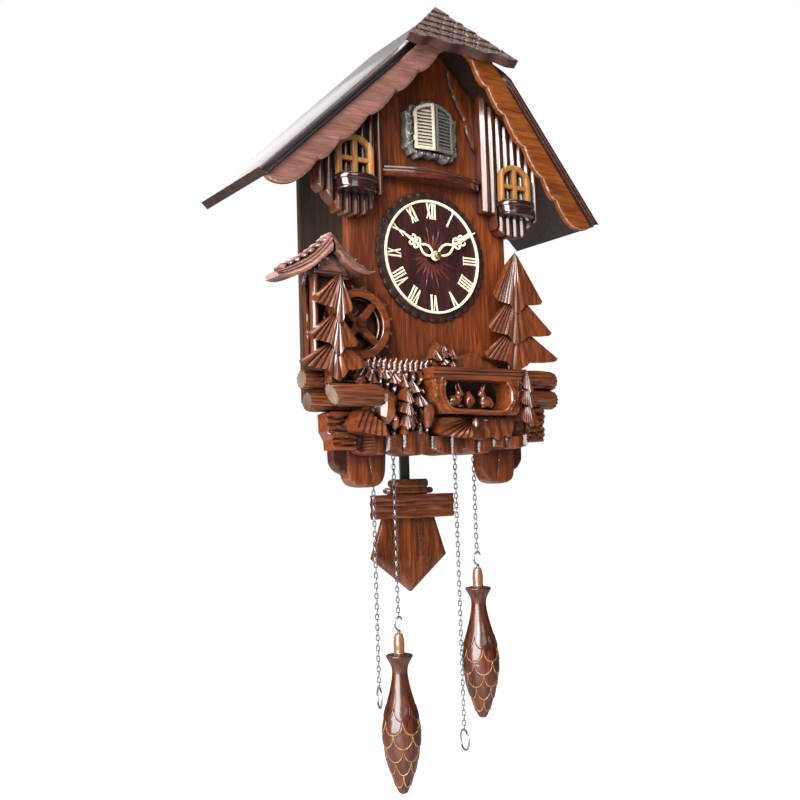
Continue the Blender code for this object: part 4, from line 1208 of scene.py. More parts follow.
def build_mill_roof():
    """The mill's roof: two folded slopes with upturned eaves, and tiles along their top edges."""
    roof = Shell()
    sides = (([(-113, 5), (-118, -2.5), (-128.9, -13.5), (-143.6, -22.5), (-163, -31.6)],
              [(-115.6, -12.1), (-122.7, -17.6), (-128.6, -22.8), (-135.5, -28.1), (-143.9, -32.6),
               (-151.1, -35.5), (-158.2, -37.1), (-164.1, -36.4)]),
             ([(-113, 5), (-103, -5.1), (-92.4, -14.4), (-83.7, -20.3), (-75.9, -22.4)],
              [(-112.9, -12.0), (-107.7, -15.1), (-105.6, -19.6), (-100.3, -22.8), (-92.8, -26.9),
               (-84, -27.9), (-76.5, -25.3)]))
    for top, low in sides:
        top, low = smooth_line(top, 6), smooth_line(low, 6)
        count = 40
        middle = [(0.52 * p[0] + 0.48 * q[0], 0.52 * p[1] + 0.48 * q[1])
                  for p, q in zip(along(top, count), along(low, count))]
        patch(roof, top, middle, -21.0, -26.5, -6.0, ridges=2, depth=1.6, across=False)
        patch(roof, middle, low, -26.5, -29.2, -8.0, ridges=1, depth=1.4, across=False)
    for i in range(7):
        t = (i + 0.5) / 7.0
        x, z = -113.5 - 44 * t, 2.5 - 29.0 * t - 5.0 * t * (1 - t) * 2.2
        blob(roof, (x, -14, z - 1.2), (3.6, 9.0, 3.0), seed=i, rough=0.06, turn=-0.6, columns=14, rows=8)
    for i in range(5):
        t = (i + 0.5) / 5.0
        blob(roof, (-112 + 34 * t, -13, 1.4 - 24.0 * t), (3.4, 8.0, 2.6), seed=9 + i, rough=0.06, turn=0.65,
             columns=14, rows=8)
    make("mill_roof_carved", roof, MILL_ROOF, replaces="mill_roof")


def build_mill_gable():
    """The scalloped board under the mill's roof, with a carved boss before it."""
    gable = Shell()
    scallop = []
    for i in range(4):
        for step in range(8):
            t = (i + step / 8) / 4
            scallop.append((-127 + 15.5 * t, -24.0 + 12.5 * t - 1.7 * math.sin(math.pi * step / 8)))
    scallop += [(-p[0] - 223, p[1]) for p in scallop[::-1]]
    outline = [(-127, -28.0)] + scallop + [(-96, -28.0)]
    relief(gable, outline, -2.0, lambda x, z, gap: -19.0 + 0.06 * (z + 30), 1.4, 0.9)
    relief(gable, [(-111.5, -12.5), (-99, -20.5), (-98, -26.5), (-125, -26.5), (-124, -20.5)], -4.0,
           lambda x, z, gap: -21.5 + 0.8 * np.abs(np.sin((x + z) / 3.2)), 1.4, 1.2)
    make("mill_gable", gable, MILL_ROOF)


WHEEL_X, WHEEL_Z = -84.0, -66.0
BUCKETS = 16


def spoke(angle):
    """The directions out along a spoke and square to it."""
    return np.array((math.cos(angle), math.sin(angle))), np.array((-math.sin(angle), math.cos(angle)))


def on_wheel(corners, y):
    return [(WHEEL_X + q[0], y, WHEEL_Z + q[1]) for q in corners]


def wheel_rim(shell, y0, y1, inner, outer):
    """A flat ring with its front edges bevelled."""
    count = 96
    points = []
    for r, y in ((inner, y1), (inner, y0 + 0.4), (inner + 0.4, y0), (outer - 0.4, y0), (outer, y0 + 0.4),
                 (outer, y1)):
        points += [(x, y, z) for x, z in circle_line(r, count, WHEEL_X, WHEEL_Z)]
    shell.add(points, ring_faces(6, count, looped=True))


def wheel_buckets(shell):
    for number in range(BUCKETS):
        d, n = spoke(2 * math.pi * (number + 0.4) / BUCKETS)
        slant = n * 1.6
        corners = [d * 26.4 - n * 1.1, d * 26.4 + n * 1.1,
                   d * 31.6 + slant + n * 1.0, d * 31.6 + slant - n * 1.0]
        shell.add(on_wheel(corners, -15.4) + on_wheel(corners, -8.7), BOX_FACES)


def wheel_arms(shell):
    for quarter in range(4):
        d, n = spoke(math.pi / 2 * quarter + math.pi / 4 + 0.06)
        outer = [d * 3 - n * 3.0, d * 3 + n * 3.0, d * 23.5 + n * 3.0, d * 23.5 - n * 3.0]
        inner = [d * 3 - n * 2.4, d * 3 + n * 2.4, d * 22.6 + n * 2.4, d * 22.6 - n * 2.4]
        faces = [(0, 1, 2, 3), (8, 9, 10, 11)]
        faces += [(r + i, r + (i + 1) % 4, r + 4 + (i + 1) % 4, r + 4 + i) for r in (0, 4) for i in range(4)]
        shell.add(on_wheel(outer, -9.6) + on_wheel(outer, -13.9) + on_wheel(inner, -14.5), faces)


def build_wheel():
    """The mill wheel: two rims on a drum with bucket boards round it, four arms and a hub."""
    shell = Shell()
    wheel_rim(shell, -16.5, -14.6, 22.0, 28.6)
    wheel_rim(shell, -15.6, -8.5, 24.6, 27.0)
    wheel_rim(shell, -10.6, -8.5, 21.0, 30.6)
    wheel_buckets(shell)
    wheel_arms(shell)
    wheel_rim(shell, -15.4, -8.9, 2.0, 6.2)
    make("mill_wheel_carved", shell, CARVED_LEVEL, body="mill_wheel", replaces="mill_wheel", smooth=30)


def tier(shell, apex, left, middle, right, y, back, count=3, depth=1.4, under=0.3):
    """One skirt of a spruce: ridged needles that sweep to the left, a smoother right side, and a leaf."""
    drop = abs(middle[1] - left[1])

    def shoulder(tip):
        return (middle[0] + 0.36 * (tip[0] - middle[0]), tip[1] + 0.30 * (middle[1] - tip[1]))

    for tip, ridges, deep in ((left, count + 1, depth), (right, max(2, count - 2), 0.4 * depth)):
        start = (apex[0] + 0.16 * (tip[0] - apex[0]), apex[1] + 0.10 * (tip[1] - apex[1]))
        notch = shoulder(tip)
        heel = (tip[0] + 0.10 * (notch[0] - tip[0]), tip[1] - 0.22 * drop)
        half = ((heel[0] + notch[0]) / 2, (heel[1] + notch[1]) / 2 - 0.07 * drop)
        edge = [tip, heel, half, (notch[0] * 0.7 + middle[0] * 0.3, notch[1] - 0.1 * drop)]
        patch(shell, [start, apex], edge, y + 4.5, y + 1.4, back, ridges, deep, rows=8, fade=0.25,
              undercut=under)
    low_left, low_right = shoulder(left), shoulder(right)
    rim = [low_left, ((low_left[0] + middle[0]) / 2, (low_left[1] + 1.4 * middle[1]) / 2.4), middle,
           ((low_right[0] + middle[0]) / 2, (low_right[1] + 1.4 * middle[1]) / 2.4), low_right]
    fan(shell, (apex[0] + 0.02 * (left[0] - apex[0]), apex[1] - 1.0), rim, y + 3.4, y + depth, back, 3, depth,
        fade=0.35, rows=8, undercut=under)


def build_trees():
    """The four spruces. Each tier: apex, left tip, middle leaf and right tip."""
    trees = (
        ("left_tree", -34.0, -17.3, 3, 1.5, -112.0, -116.0, 6.0,
         [((-109.4, -30.1), (-133.1, -49), (-111.8, -72.6), (-101.0, -54)),
          ((-113, -60), (-139.1, -79.0), (-115.2, -96.3), (-97.2, -83)),
          ((-115, -82), (-148.0, -100.5), (-115.3, -116), (-88.9, -100))]),
        ("right_tree", -20.0, -8.3, 4, 1.4, -95.0, -100.0, 5.5,
         [((83, 10), (56, -33), (80, -47), (111.5, -33)),
          ((82, -27), (47, -61), (77, -75), (121, -61.5)),
          ((81, -56), (41, -84.5), (76, -99.5), (127, -85))]),
        ("centre_tree", -44.0, -30.3, 2, 0.7, -152.0, -156.0, 2.5,
         [((-56.3, -118.3), (-61.8, -129.2), (-56.4, -133), (-50.8, -129.7)),
          ((-57, -127.5), (-65.9, -138.6), (-58, -142), (-51, -140)),
          ((-57.5, -136.5), (-65.3, -149), (-59.5, -153), (-51.6, -148.8))]),
        ("small_right_tree", -48.0, -42.3, 2, 0.6, -148.0, -152.0, 2.5,
         [((67, -100.5), (60.5, -115.5), (66, -121), (71.5, -118)),
          ((66.5, -112), (57.5, -129), (66, -135), (73.5, -131)),
          ((66.5, -125), (57.2, -144), (66.5, -151), (75.3, -145.5))]))
    for name, y, back, count, depth, trunk_top, foot, trunk, tiers in trees:
        shell = Shell()
        for number, (apex, left, middle, right) in enumerate(tiers):
            tier(shell, apex, left, middle, right, y + 0.6 * (number == 0), back, count, depth)
        x = tiers[-1][0][0]
        block(shell, (x - trunk * 0.8, x + trunk * 0.8), (y + 5.0, back), (foot, trunk_top + 8), 0.7)
        make(f"{name}_carved", shell, CARVED, replaces=name, smooth=32)


# ---------------------------------------------------------------------------------- carved base
def hump(x, z, cx, cz, rx, rz, height):
    """Half an ellipsoid that stands out from the ground."""
    d = ((x - cx) / rx) ** 2 + ((z - cz) / rz) ** 2
    return height * np.sqrt(np.clip(1 - d, 0, 1))


SKIRT = ((-79, 12), (-60, 10), (-45, 9), (-32, 9), (-14, 11), (3, 9), (16, 10), (32, 10), (48, 9), (66, 11),
         (84, 9))


def base_outline():
    low = smooth_line([(-90, -165), (-84, -170.4), (-72, -172), (-62, -167), (-50, -171.6), (-36, -172.4),
                       (-28, -166.6), (-16, -171.2), (-2, -172.2), (8, -167.6), (20, -171.9), (34, -170.8),
                       (44, -166), (60, -168), (78, -165.6), (90, -160)], 4)
    sky = [(90, -98), (62, -96), (56, -92.5), (50, -88.5), (40, -84.6), (32, -83.2), (20, -87), (15, -87.5)]
    sky += [(13, -82), (10.5, -79.5), (8, -76), (3, -78.5), (-2, -75), (-5.5, -79), (-8, -84), (-12, -90),
            (-14, -94)]
    for i in range(12):
        x = -18 - 5.2 * i
        sky += [(x, -93.5 - 1.7 * (i % 3)), (x - 2.6, -91.6 - 1.3 * (i % 2)), (x - 4.4, -94.8)]
    return low + sky + [(-84, -99), (-90, -98)]


def build_ground():
    """The carved ground: a hill, rows of stumps, folds, and a skirt of lobed bark along the bottom."""
    def ground(x, z, gap):
        y = np.full(len(x), -9.0)
        hill = hump(x, z, 37, -97, 31, 15, 7.0)
        hill = np.maximum(hill, hump(x, z, -1, -90, 16, 13, 8.0))
        y = np.where(z > -101, -8.0 - hill, y)
        body = (x > -81) & (x < 78) & (z < -139)
        body |= (x > -82) & (x < -31) & (z < -103)
        y = np.where(body, -16.0 + 1.6 * np.sin(x / 4.3) * np.cos(z / 5.1), y)
        stumps = (x < -18) & (z > -106)
        y = np.where(stumps, -17.0 - 2.6 * np.abs(np.sin(math.pi * (x + 18) / 5.2)), y)
        folds = (x > -82) & (x < -28) & (z < -103) & (z > -156)
        sway = x + 2.6 * np.sin(z / 5.2) + 1.4 * np.sin(z / 2.3 + x / 9.0)
        fold = np.abs(np.sin(math.pi * sway / 7.6))
        y = np.where(folds, -20.0 - 6.5 * fold - 1.6 * np.sin(z / 4.1 + x / 6.0), y)
        for cx, half in SKIRT:
            lobe = -19.0 - 9.0 * np.sqrt(np.clip(1 - ((x - cx) / half) ** 2, 0, 1))
            lobe -= 0.8 * np.abs(np.sin(math.pi * (x - cx) / 3.6 + 0.4 * np.sin(z / 4.0)))
            inside_skirt = (z < -154.5 + 2.0 * np.cos(x / 7.0)) & (np.abs(x - cx) < half)
            inside_skirt &= (x > -82) & (x < 79)
            y = np.where(inside_skirt, np.minimum(y, lobe), y)
        outer = (x < -82) | (x > 79)
        y = np.where(outer & (z < -100), -10.0 - 1.2 * np.abs(np.sin(z / 2.4)), y)
        window = (x > -30) & (x < 69) & (z > -139.5) & (z < -102)
        y = np.where(window, -8.5, y)
        y = np.where((x < -79) & (z > -137) & (z < -115), np.maximum(y, -24.0), y)
        return np.maximum(y, -29.9)

    shell = Shell()
    relief(shell, base_outline(), BOARD_BACK, ground, 1.5, 1.0)
    piece = make("base_carving_ground", shell, CARVED, replaces="base_carving", smooth=45)
    # Painted shade: the ground seen through the hollow log's window is painted near-black.
    paint(piece, HOLLOW_SHADE, lambda c, n: -30 < c.x < 69 and -139.5 < c.z < -103 and c.y > -18)
    # Painted shade: the sides of the skirt's lobes are painted dark red, between the lobes.
    paint(piece, DARK_RED, lambda c, n: c.z < -153 and abs(n.x) > 0.6 and c.y < -19)


def build_rocks():
    rocks = Shell()
    for x, y, z, half, seed, turn in (
            (-72.3, -31, -134, (10.4, 9.0, 14.2), 0.7, 0.12), (-66.5, -36, -146.5, (3.2, 4.0, 6.0), 2.1, 0.0),
            (-90, -23, -112.5, (5.0, 5.5, 4.2), 1.1, -0.3), (-33.0, -35, -141.0, (5.2, 4.5, 10.0), 8.2, 0.15),
            (12.6, -38, -146.5, (2.9, 3.5, 4.6), 9.4, 0.0)):
        blob(rocks, (x, y, z), half, seed=seed, rough=0.12, turn=turn, columns=10, rows=7)
    make("base_rocks", rocks, CARVED, smooth=16)


def build_folds():
    """Ridged fans of bark that hang over each other at the left of the ground."""
    folds = Shell()
    for x, z, size, lean, y in ((-84, -101, 16.0, -0.95, -22), (-78, -103, 12.0, -0.4, -24),
                                (-70, -101.5, 10.0, 0.1, -25), (-62, -104, 11.0, 0.25, -26),
                                (-51.5, -106, 12.0, -0.15, -27), (-43, -111, 11.0, 0.1, -27),
                                (-37, -121, 12.0, 0.2, -27), (-46, -138, 9.0, -0.3, -32),
                                (-66, -119, 9.0, -0.2, -27)):
        rim = [(x + size * math.sin(lean + a), z - size * math.cos(lean + a))
               for a in np.linspace(-0.62, 0.62, 7)]
        fan(folds, (x - 0.2 * size * math.sin(lean), z + 0.2 * size), rim, y + 3.5, y - 3.0, GROUND_BACK, 3,
            1.6, fade=0.3, undercut=0.15)
    make("base_folds", folds, CARVED, smooth=34)


def build_plank_fans():
    """Two fans of short planks below the front log and the hollow log."""
    planks = Shell()
    patch(planks, [(-97.5, -136.8), (-91, -137.5), (-86, -141), (-80, -145), (-73.5, -148.5)],
          [(-106, -148.0), (-101, -154.5), (-92, -156.0), (-84, -157.4), (-74.5, -157.5)], -34.0, -38.6,
          GROUND_BACK, ridges=6, depth=1.6, facets=True, undercut=0.1)
    patch(planks, [(9.8, -141.2), (10.6, -148)],
          [(-21.5, -142.6), (-24.8, -155.4), (-15.8, -157.8), (-5.2, -158.9), (3.9, -159.8), (11.2, -156.5)],
          -34.5, -38.6, GROUND_BACK, ridges=7, depth=1.5, facets=True, undercut=0.1)
    make("plank_fans", planks, CARVED_LEVEL, smooth=20)


def build_stump():
    stump = Shell()
    outline = [(14, -140), (61.5, -140), (62, -150), (60, -158.5), (52, -157), (44, -160.8), (36, -157.6),
               (26, -161), (14.5, -159.5)]

    def bark(x, z, gap):
        ridges = 1.6 * np.abs(np.sin(x / 3.4 + 0.5 * np.sin(z / 3.0)))
        return -30.5 + ridges - 1.4 * np.sin((x - 14) / 15.6) ** 2

    relief(stump, outline, -17.5, bark, 1.4, 1.4)
    make("base_stump", stump, CARVED, smooth=40)


def build_bush():
    """The leaves on top of the hill."""
    bush = Shell()
    for cx, cz, size, lean in ((-9, -86, 7.5, 0.35), (-1, -82.5, 8.0, -0.1), (7.5, -84, 7.5, -0.45),
                               (-4, -91, 6.0, 0.2), (6, -92, 6.0, -0.3)):
        rim = [(cx + size * math.sin(lean + t), cz - 0.95 * size * math.cos(lean + t)) for t in
               np.linspace(-1.15, 1.15, 7)]
        fan(bush, (cx - 0.35 * size * math.sin(lean), cz + 0.5 * size), rim, -14.0, -19.0, -8.0, 4, 0.9,
            fade=0.4)
    make("hill_bush", bush, CARVED, smooth=36)


def stack(shell, side, outline, levels):
    """A split end of stacked wood: one block with ragged level grooves."""
    def ragged(x, z, gap):
        y = np.full(len(x), -16.4)
        for level in levels:
            y = y + groove(np.abs(z - level - 0.6 * np.sin(x / 3.7 + level)), 1.1, 1.8)
        return y

    seeds = [(side * x, level + 0.6 * math.sin(side * x / 3.7 + level) + o) for level in levels
             for x in np.arange(91, 116, 1.6) for o in (-1.0, 0.0, 1.0)]
    relief(shell, flipped(outline, side), -0.6, ragged, 1.5, 1.0, seeds=seeds)


def build_logs():
    """The grooved logs that stick out at both sides, and the one across the front, with pale cut ends."""
    left = Shell()
    log(left, (-135, -90.3), -8.6, -112.1, 7.4, 13, 1.5, 1.05, 0.3)
    log(left, (-130.5, -90.3), -8.6, -129.1, 7.5, 13, 1.5, 1.04, 1.4)
    stack(left, -1, [(90.3, -137.3), (112, -137.0), (117, -139), (116.5, -153), (112.5, -160), (112, -167.4),
                     (90.3, -168)], (-142.5, -147.2, -152.6, -159.0, -163.6))
    piece = make("left_logs_bark", left, CARVED_LEVEL, replaces="left_logs", smooth=26)
    paint(piece, DARK_END, lambda c, n: c.x < -125.0 and n.x < -0.85)
    right = Shell()
    log(right, (90.3, 127.6), -8.6, -105.0, 8.3, 13, 1.4, 0.95, 2.3)
    log(right, (90.3, 127.2), -8.6, -122.4, 8.2, 13, 1.4, 0.98, 3.1)
    stack(right, 1, [(90.3, -131), (110, -131.4), (111, -140), (108.5, -146), (110.5, -152), (108, -161),
                     (90.3, -161.2)], (-136.0, -141.5, -147.5, -152.8, -157.0))
    make("right_logs_bark", right, CARVED_LEVEL, replaces="right_logs", smooth=26)
    front = Shell()
    log(front, (-124, -80.3), -36.0, -126.0, 8.2, 12, 1.5, 1.0, 1.0)
    slanted = []
    for x, y, z in front.points:
        end = max(0.0, (-112.0 - x) / 12.0)
        slanted.append((x + 0.45 * end * (-(z + 126.0)), y, z))
    front.points = slanted
    piece = make("front_log_bark", front, CARVED_LEVEL, replaces="front_log", smooth=26)
    paint(piece, CUT_END, lambda c, n: c.x < -112.0 and n.x < -0.6)


# A rabbit's parts besides its body: haunch, chest, head, nose, two ears, front foot and tail. Each is how
# far ahead it is, its y and z, its size, its roughness and its tilt.
RABBIT = ((-3.6, -33.5, -131.2, (3.6, 3.0, 3.4), 0.03, 0.0), (2.8, -33, -126.4, (3.2, 3.2, 4.4), 0.03, 0.0),
          (4.6, -33.2, -121.6, (3.6, 2.9, 3.0), 0.03, -0.3), (7.4, -33.4, -122.3, (1.5, 1.7, 1.4), 0.02, 0.0),
          (3.6, -35.0, -116.8, (1.1, 0.8, 4.0), 0.02, -0.35),
          (3.0, -31.6, -116.8, (1.1, 0.8, 3.8), 0.02, -0.15),
          (4.4, -35.4, -132.8, (2.8, 1.5, 1.3), 0.02, 0.0), (-6.6, -32, -128.6, (1.9, 1.9, 1.9), 0.04, 0.0))


def build_hollow_log():
    """The hollow log that the animals sit in, under a beam: its window has a stepped rim."""
    window = smooth_line([(-17, -113.6), (-12, -111.9), (40, -111.5), (47, -113.8), (50.4, -119.5),
                          (50.2, -127), (46, -133), (38, -135.7), (11.3, -135.2), (-7.1, -134.6),
                          (-13.5, -132), (-17.6, -126), (-18.4, -119)], 5, closed=True)
    outline = smooth_line([(-28.5, -106.4), (-29.6, -112), (-28.2, -119), (-29.5, -126), (-27, -133),
                           (-22, -139.6)],
                          4) + [(10, -139.8), (56, -139.8)]
    outline += smooth_line([(61, -137), (62.6, -128), (61.4, -118), (62.4, -112), (62, -106.4)], 4)
    closed = window + window[:1]

    def face(x, z, gap):
        d = line_distance(x, z, closed)
        steps = 0.9 * np.abs(np.sin(math.pi * np.clip(d, 0, 5.6) / 2.8))
        grain = 0.5 * np.abs(np.sin(z / 1.9 + 0.5 * np.sin(x / 8.0)))
        return -40.6 - np.where(d < 5.6, steps, 0.2) + np.where(d > 5.6, grain, 0.0)

    shell = Shell()
    relief(shell, outline, -20.3, face, 1.3, 1.3, [window])
    patch(shell, [(-31.2, -101.2), (20, -100.6), (69.2, -99.9)],
          [(-30.6, -110.2), (20, -109.8), (63, -109.4)],
          -40.6, -40.4, -20.3, ridges=3, depth=1.1, across=False)
    make("hollow_log_carved", shell, CARVED_LEVEL, replaces="hollow_log", smooth=40)
    stumps = Shell()
    blob(stumps, (13.0, -30.0, -128.0), (4.2, 4.6, 7.4), seed=1.9, rough=0.14)
    blob(stumps, (-14.0, -30.0, -127.0), (3.4, 4.6, 8.6), seed=0.4, rough=0.12)
    make("hollow_log_stumps", stumps, CARVED, smooth=60)


def build_rabbits():
    """Two plain rabbits that face each other in the hollow log's window."""
    for word, x, turn in (("left", -4.0, 1), ("right", 29.0, -1)):
        rabbit = Shell()
        blob(rabbit, (x - turn * 0.6, -32, -129.0), (6.4, 4.6, 5.7), seed=x, rough=0.04, turn=turn * 0.25)
        for seed, (ahead, y, z, size, rough, tilt) in enumerate(RABBIT, start=1):
            blob(rabbit, (x + turn * ahead, y, z), size, seed=seed, rough=rough, turn=turn * tilt)
        make(f"{word}_rabbit", rabbit, CARVED, replaces=f"rabbit_{word}", smooth=70)


def build_legs():
    """The two feet: an inner half-round billet with split lines and a thinner slab set back outside it."""
    outline = [(50, -122), (100, -122)]
    outline += smooth_line([(100, -150), (100, -172), (98.5, -179), (94, -184), (88.5, -186.5), (87, -190.5),
                            (83.5, -194.8), (76, -197), (67, -197.4), (58, -195.4), (53.5, -190.5),
                            (51.2, -183), (50, -165)], 4)
    splits = [[(69.5, -120), (69.5, -167), (66.3, -191)]]

    def face(x, z, gap):
        u = np.abs(x)
        y = 0.3 + 2.2 * ((u - 69) / 18.0) ** 2
        y = np.where(u > 87.5, 5.0 + 0.7 * np.abs(np.sin(u / 1.5)), y)
        for line in splits:
            y = y + np.where(u < 87.5, groove(line_distance(u, z, line), 0.8, 1.0), 0.0)
        return np.maximum(y, 0.3)

    for word, side in SIDES:
        shell = Shell()
        seeds = [(side * (x + o), z) for line in splits for x, z in along(line, 50) for o in (-0.7, 0, 0.7)]
        seeds += [(side * x, z) for z in np.arange(-186, -123, 1.5) for x in (87.3, 87.7)]
        relief(shell, flipped(outline, side), 15.0, face, 2.4, 2.2, seeds=seeds)
        piece = make(f"{word}_leg_billet", shell, CARVED, replaces=f"{word}_leg", smooth=35)
        paint(piece, DARK_RED, lambda c, n: abs(c.x) > 87.6)


# ---------------------------------------------------------------------------------- pendulum and bird
def build_pendulum_rod():
    shell = Shell()
    block(shell, (-5, 5), (49.5, 52), (-262, -19), 0.5)
    make("pendulum_strip", shell, GREEN_BLACK, body="pendulum", replaces="pendulum_rod")


BLOCK_EDGE = ((1, -1.03), (1, 0), (0.94, 0.45), (0.8, 0.78), (0.55, 0.95), (0, 1), (-0.55, 0.95),
              (-0.8, 0.78), (-0.94, 0.45), (-1, 0), (-1, -1.03))


def build_shield():
    """The shield-shaped bob, with a bevelled edge and two rounded blocks on top."""
    shield = [(-20.2, -200), (-20.2, -204.5), (-39.9, -259.5), (0, -290), (39.9, -259.5), (20.2, -204.5),
              (20.2, -200)]

    def facets(x, z, gap):
        keel = 2.4 * np.clip(1 - np.abs(x) / 40.0, 0, 1)
        low = np.clip((-259.0 - z) / 31.0, 0, 1)
        return 44.6 - keel + 1.6 * low + 1.4 * np.clip(1 - gap / 4.0, 0, 1)

    bob = Shell()
    seeds = [(0.0, z) for z in np.arange(-289, -201, 1.3)]
    relief(bob, shield, 49.2, facets, 2.2, 0.8, seeds=seeds)
    for half, low, high in ((24.8, -204.0, -198.4), (19.4, -198.6, -191.0)):
        rows = []
        middle = (low + high) / 2
        for k in range(9):
            a = math.pi * k / 8
            z = middle + (high - low) / 2 * math.cos(a)
            out = 0.86 + 0.14 * math.sin(a)
            rows.append([(half * out * u, 43 - 6.0 * out * v, z) for u, v in BLOCK_EDGE])
        loft(bob, rows)
    make("pendulum_shield", bob, BOB, body="pendulum", replaces="pendulum_bob", smooth=20)


PLANK_GROOVES = (-210.6, -214.4, -219.8)


def build_plank():
    """The grooved plank across the pendulum."""
    plank = Shell()
    left = [(-42.6, -225.3), (-43.6, -221), (-42.4, -217.5), (-43.5, -212), (-42.5, -208), (-43.2, -204.6)]
    outline = left + [(-20, -204.3), (20, -204.5)] + flipped(left[::-1], -1) + [(15, -225.5), (-15, -225.2)]

    def planks(x, z, gap):
        y = 35.0 + 0.6 * np.sin(x / 9.0 + z / 3.0) ** 2
        for level in PLANK_GROOVES:
            y = y + groove(np.abs(z - level - 0.5 * np.sin(x / 8.0)), 0.75, 0.9)
        return y

    seeds = [(x, level + 0.5 * math.sin(x / 8.0) + o) for level in PLANK_GROOVES
             for x in np.arange(-42, 42, 1.4) for o in (-0.7, 0, 0.7)]
    relief(plank, outline[::-1], 41.7, planks, 2.2, 0.9, seeds=seeds)
    piece = make("pendulum_plank", plank, CARVED_LEVEL, body="pendulum", replaces="bob_board")
    paint(piece, DARK_RED, lambda c, n: n.x < -0.7 and c.x < -30)


def build_bird():
    """The cuckoo, behind the shutters: body, head, open beak, folded wings, tail and feet."""
    bird = Shell()
    blob(bird, (0, 32, 110), (6.8, 12.5, 7.6), seed=0.2, rough=0.02)
    blob(bird, (0, 22, 118), (5.8, 5.8, 5.8), seed=0.5, rough=0.02)
    for side in (-1, 1):
        blob(bird, (side * 5.6, 34, 110.5), (1.8, 10.0, 4.8), seed=1 + side, rough=0.03)
        tube(bird, [(side * 2.2, 31, 104), (side * 2.2, 31, 99.9)], 0.9, 8)
    tube(bird, [(0, 18, 119.2), (0, 14, 119.3), (0, 10.6, 118.8)], [2.0, 1.3, 0.2], 10)
    tube(bird, [(0, 18, 116.8), (0, 14.5, 116.0), (0, 12, 115.2)], [1.7, 1.0, 0.2], 10)
    blob(bird, (0, 43, 113), (3.6, 4.5, 2.0), seed=3, rough=0.03)
    make("cuckoo_bird", bird, GOLDEN, body="cuckoo", replaces="bird", smooth=70)


# ---------------------------------------------------------------------------------- weights and chains
CHAIN_Y = 19.0
PULL_RING = 8.5
WEIGHT_PROFILE = [(0.3, 0), (2.6, 0), (3.6, -1.5), (4.3, -5), (4.6, -9), (4.7, -16.4), (8.0, -16.9),
                  (11.0, -17.6), (11.4, -18.6), (10.8, -20), (8.8, -23.5), (7.2, -27), (6.6, -31), (6.8, -35),
                  (7.8, -41), (9.4, -48), (11.4, -55), (13.3, -62), (14.9, -69), (15.9, -76), (16.1, -83),
                  (15.5, -91), (14.2, -99), (12.2, -107), (9.6, -115.5), (6.8, -123), (4.2, -129),
                  (2.5, -130.6), (0.3, -131)]


def weight_radius(z):
    levels = [-p[1] for p in WEIGHT_PROFILE]
    return float(np.interp(-z, levels, [p[0] for p in WEIGHT_PROFILE]))


SCALE_ROWS = 6
SCALES_AROUND = 6
SCALES_TOP = -59.0
SCALES_FOOT = -124.0
SCALE_PITCH = 11.0
SCALE_DROP = 10.5


def scale_edge(row, across):
    """The height of a scale's rounded lower edge: across goes from 0 to 1 over the scale."""
    return SCALES_TOP - row * SCALE_PITCH - SCALE_DROP * math.sqrt(max(0.0, 1 - (2 * across - 1) ** 2))


def scale_lift(z, angle):
    """How far the scales stand out from the turned belly."""
    if z > SCALES_TOP or z < SCALES_FOOT:
        return 0.0
    for row in range(SCALE_ROWS):
        low = scale_edge(row, (angle / (2 * math.pi) * SCALES_AROUND + 0.5 * (row % 2)) % 1.0)
        if z > low:
            return 0.6 * max(0.0, 1 - (z - low) / 9.0)
    return 0.0


def build_scale_lines(word, x, top):
    """A pale line along the edge of each scale, dark where the top row ends."""
    lines = Shell()
    for row in range(SCALE_ROWS):
        for i in range(SCALES_AROUND):
            curve = []
            for s in np.linspace(0.0, 1.0, 15):
                z = scale_edge(row, s)
                a = 2 * math.pi * (i + s - 0.5 * (row % 2)) / SCALES_AROUND
                r = weight_radius(z) + 0.3
                curve.append((x + r * math.sin(a), CHAIN_Y - r * math.cos(a), top + z))
            tube(lines, curve, [0.24 + 0.30 * math.sin(math.pi * k / 14) for k in range(15)], 6)
    piece = make(f"{word}_weight_scales", lines, TAN, body=f"{word}_weight", smooth=60)
    paint(piece, DARK_RED, lambda c, n: c.z > top + SCALES_TOP - SCALE_DROP - 0.4)


def build_hook(word, x, top):
    hook = [(0, -3), (0, 1.5), (-3.0, 5.2), (-3.8, 9.0), (-1.7, 12.8), (1.7, 13.6), (3.4, 11.2)]
    wire = Shell()
    tube(wire, [(x + u, CHAIN_Y, top + v) for u, v in smooth_line(hook, 5)], 0.85, 10)
    eye = [(u, CHAIN_Y, v) for u, v in circle_line(2.0, 16, x, top + 0.8)]
    tube(wire, eye, 0.6, 8, closed=True)
    make(f"{word}_weight_hook", wire, STEEL, body=f"{word}_weight", smooth=60)


def build_weight(word, x, top):
    """A turned pine-cone weight: a plug with a hook, a collar, and rows of scales cut round its belly."""
    body = Shell()
    lathe(body, smooth_line(WEIGHT_PROFILE, 4), (x, CHAIN_Y, top), 72, scale_lift)
    piece = make(f"{word}_weight_turned", body, WEIGHT, body=f"{word}_weight", replaces=f"{word}_weight",
                 smooth=50)
    paint(piece, PLUG, lambda c, n: c.z > top - 16.6)
    build_scale_lines(word, x, top)
    build_hook(word, x, top)


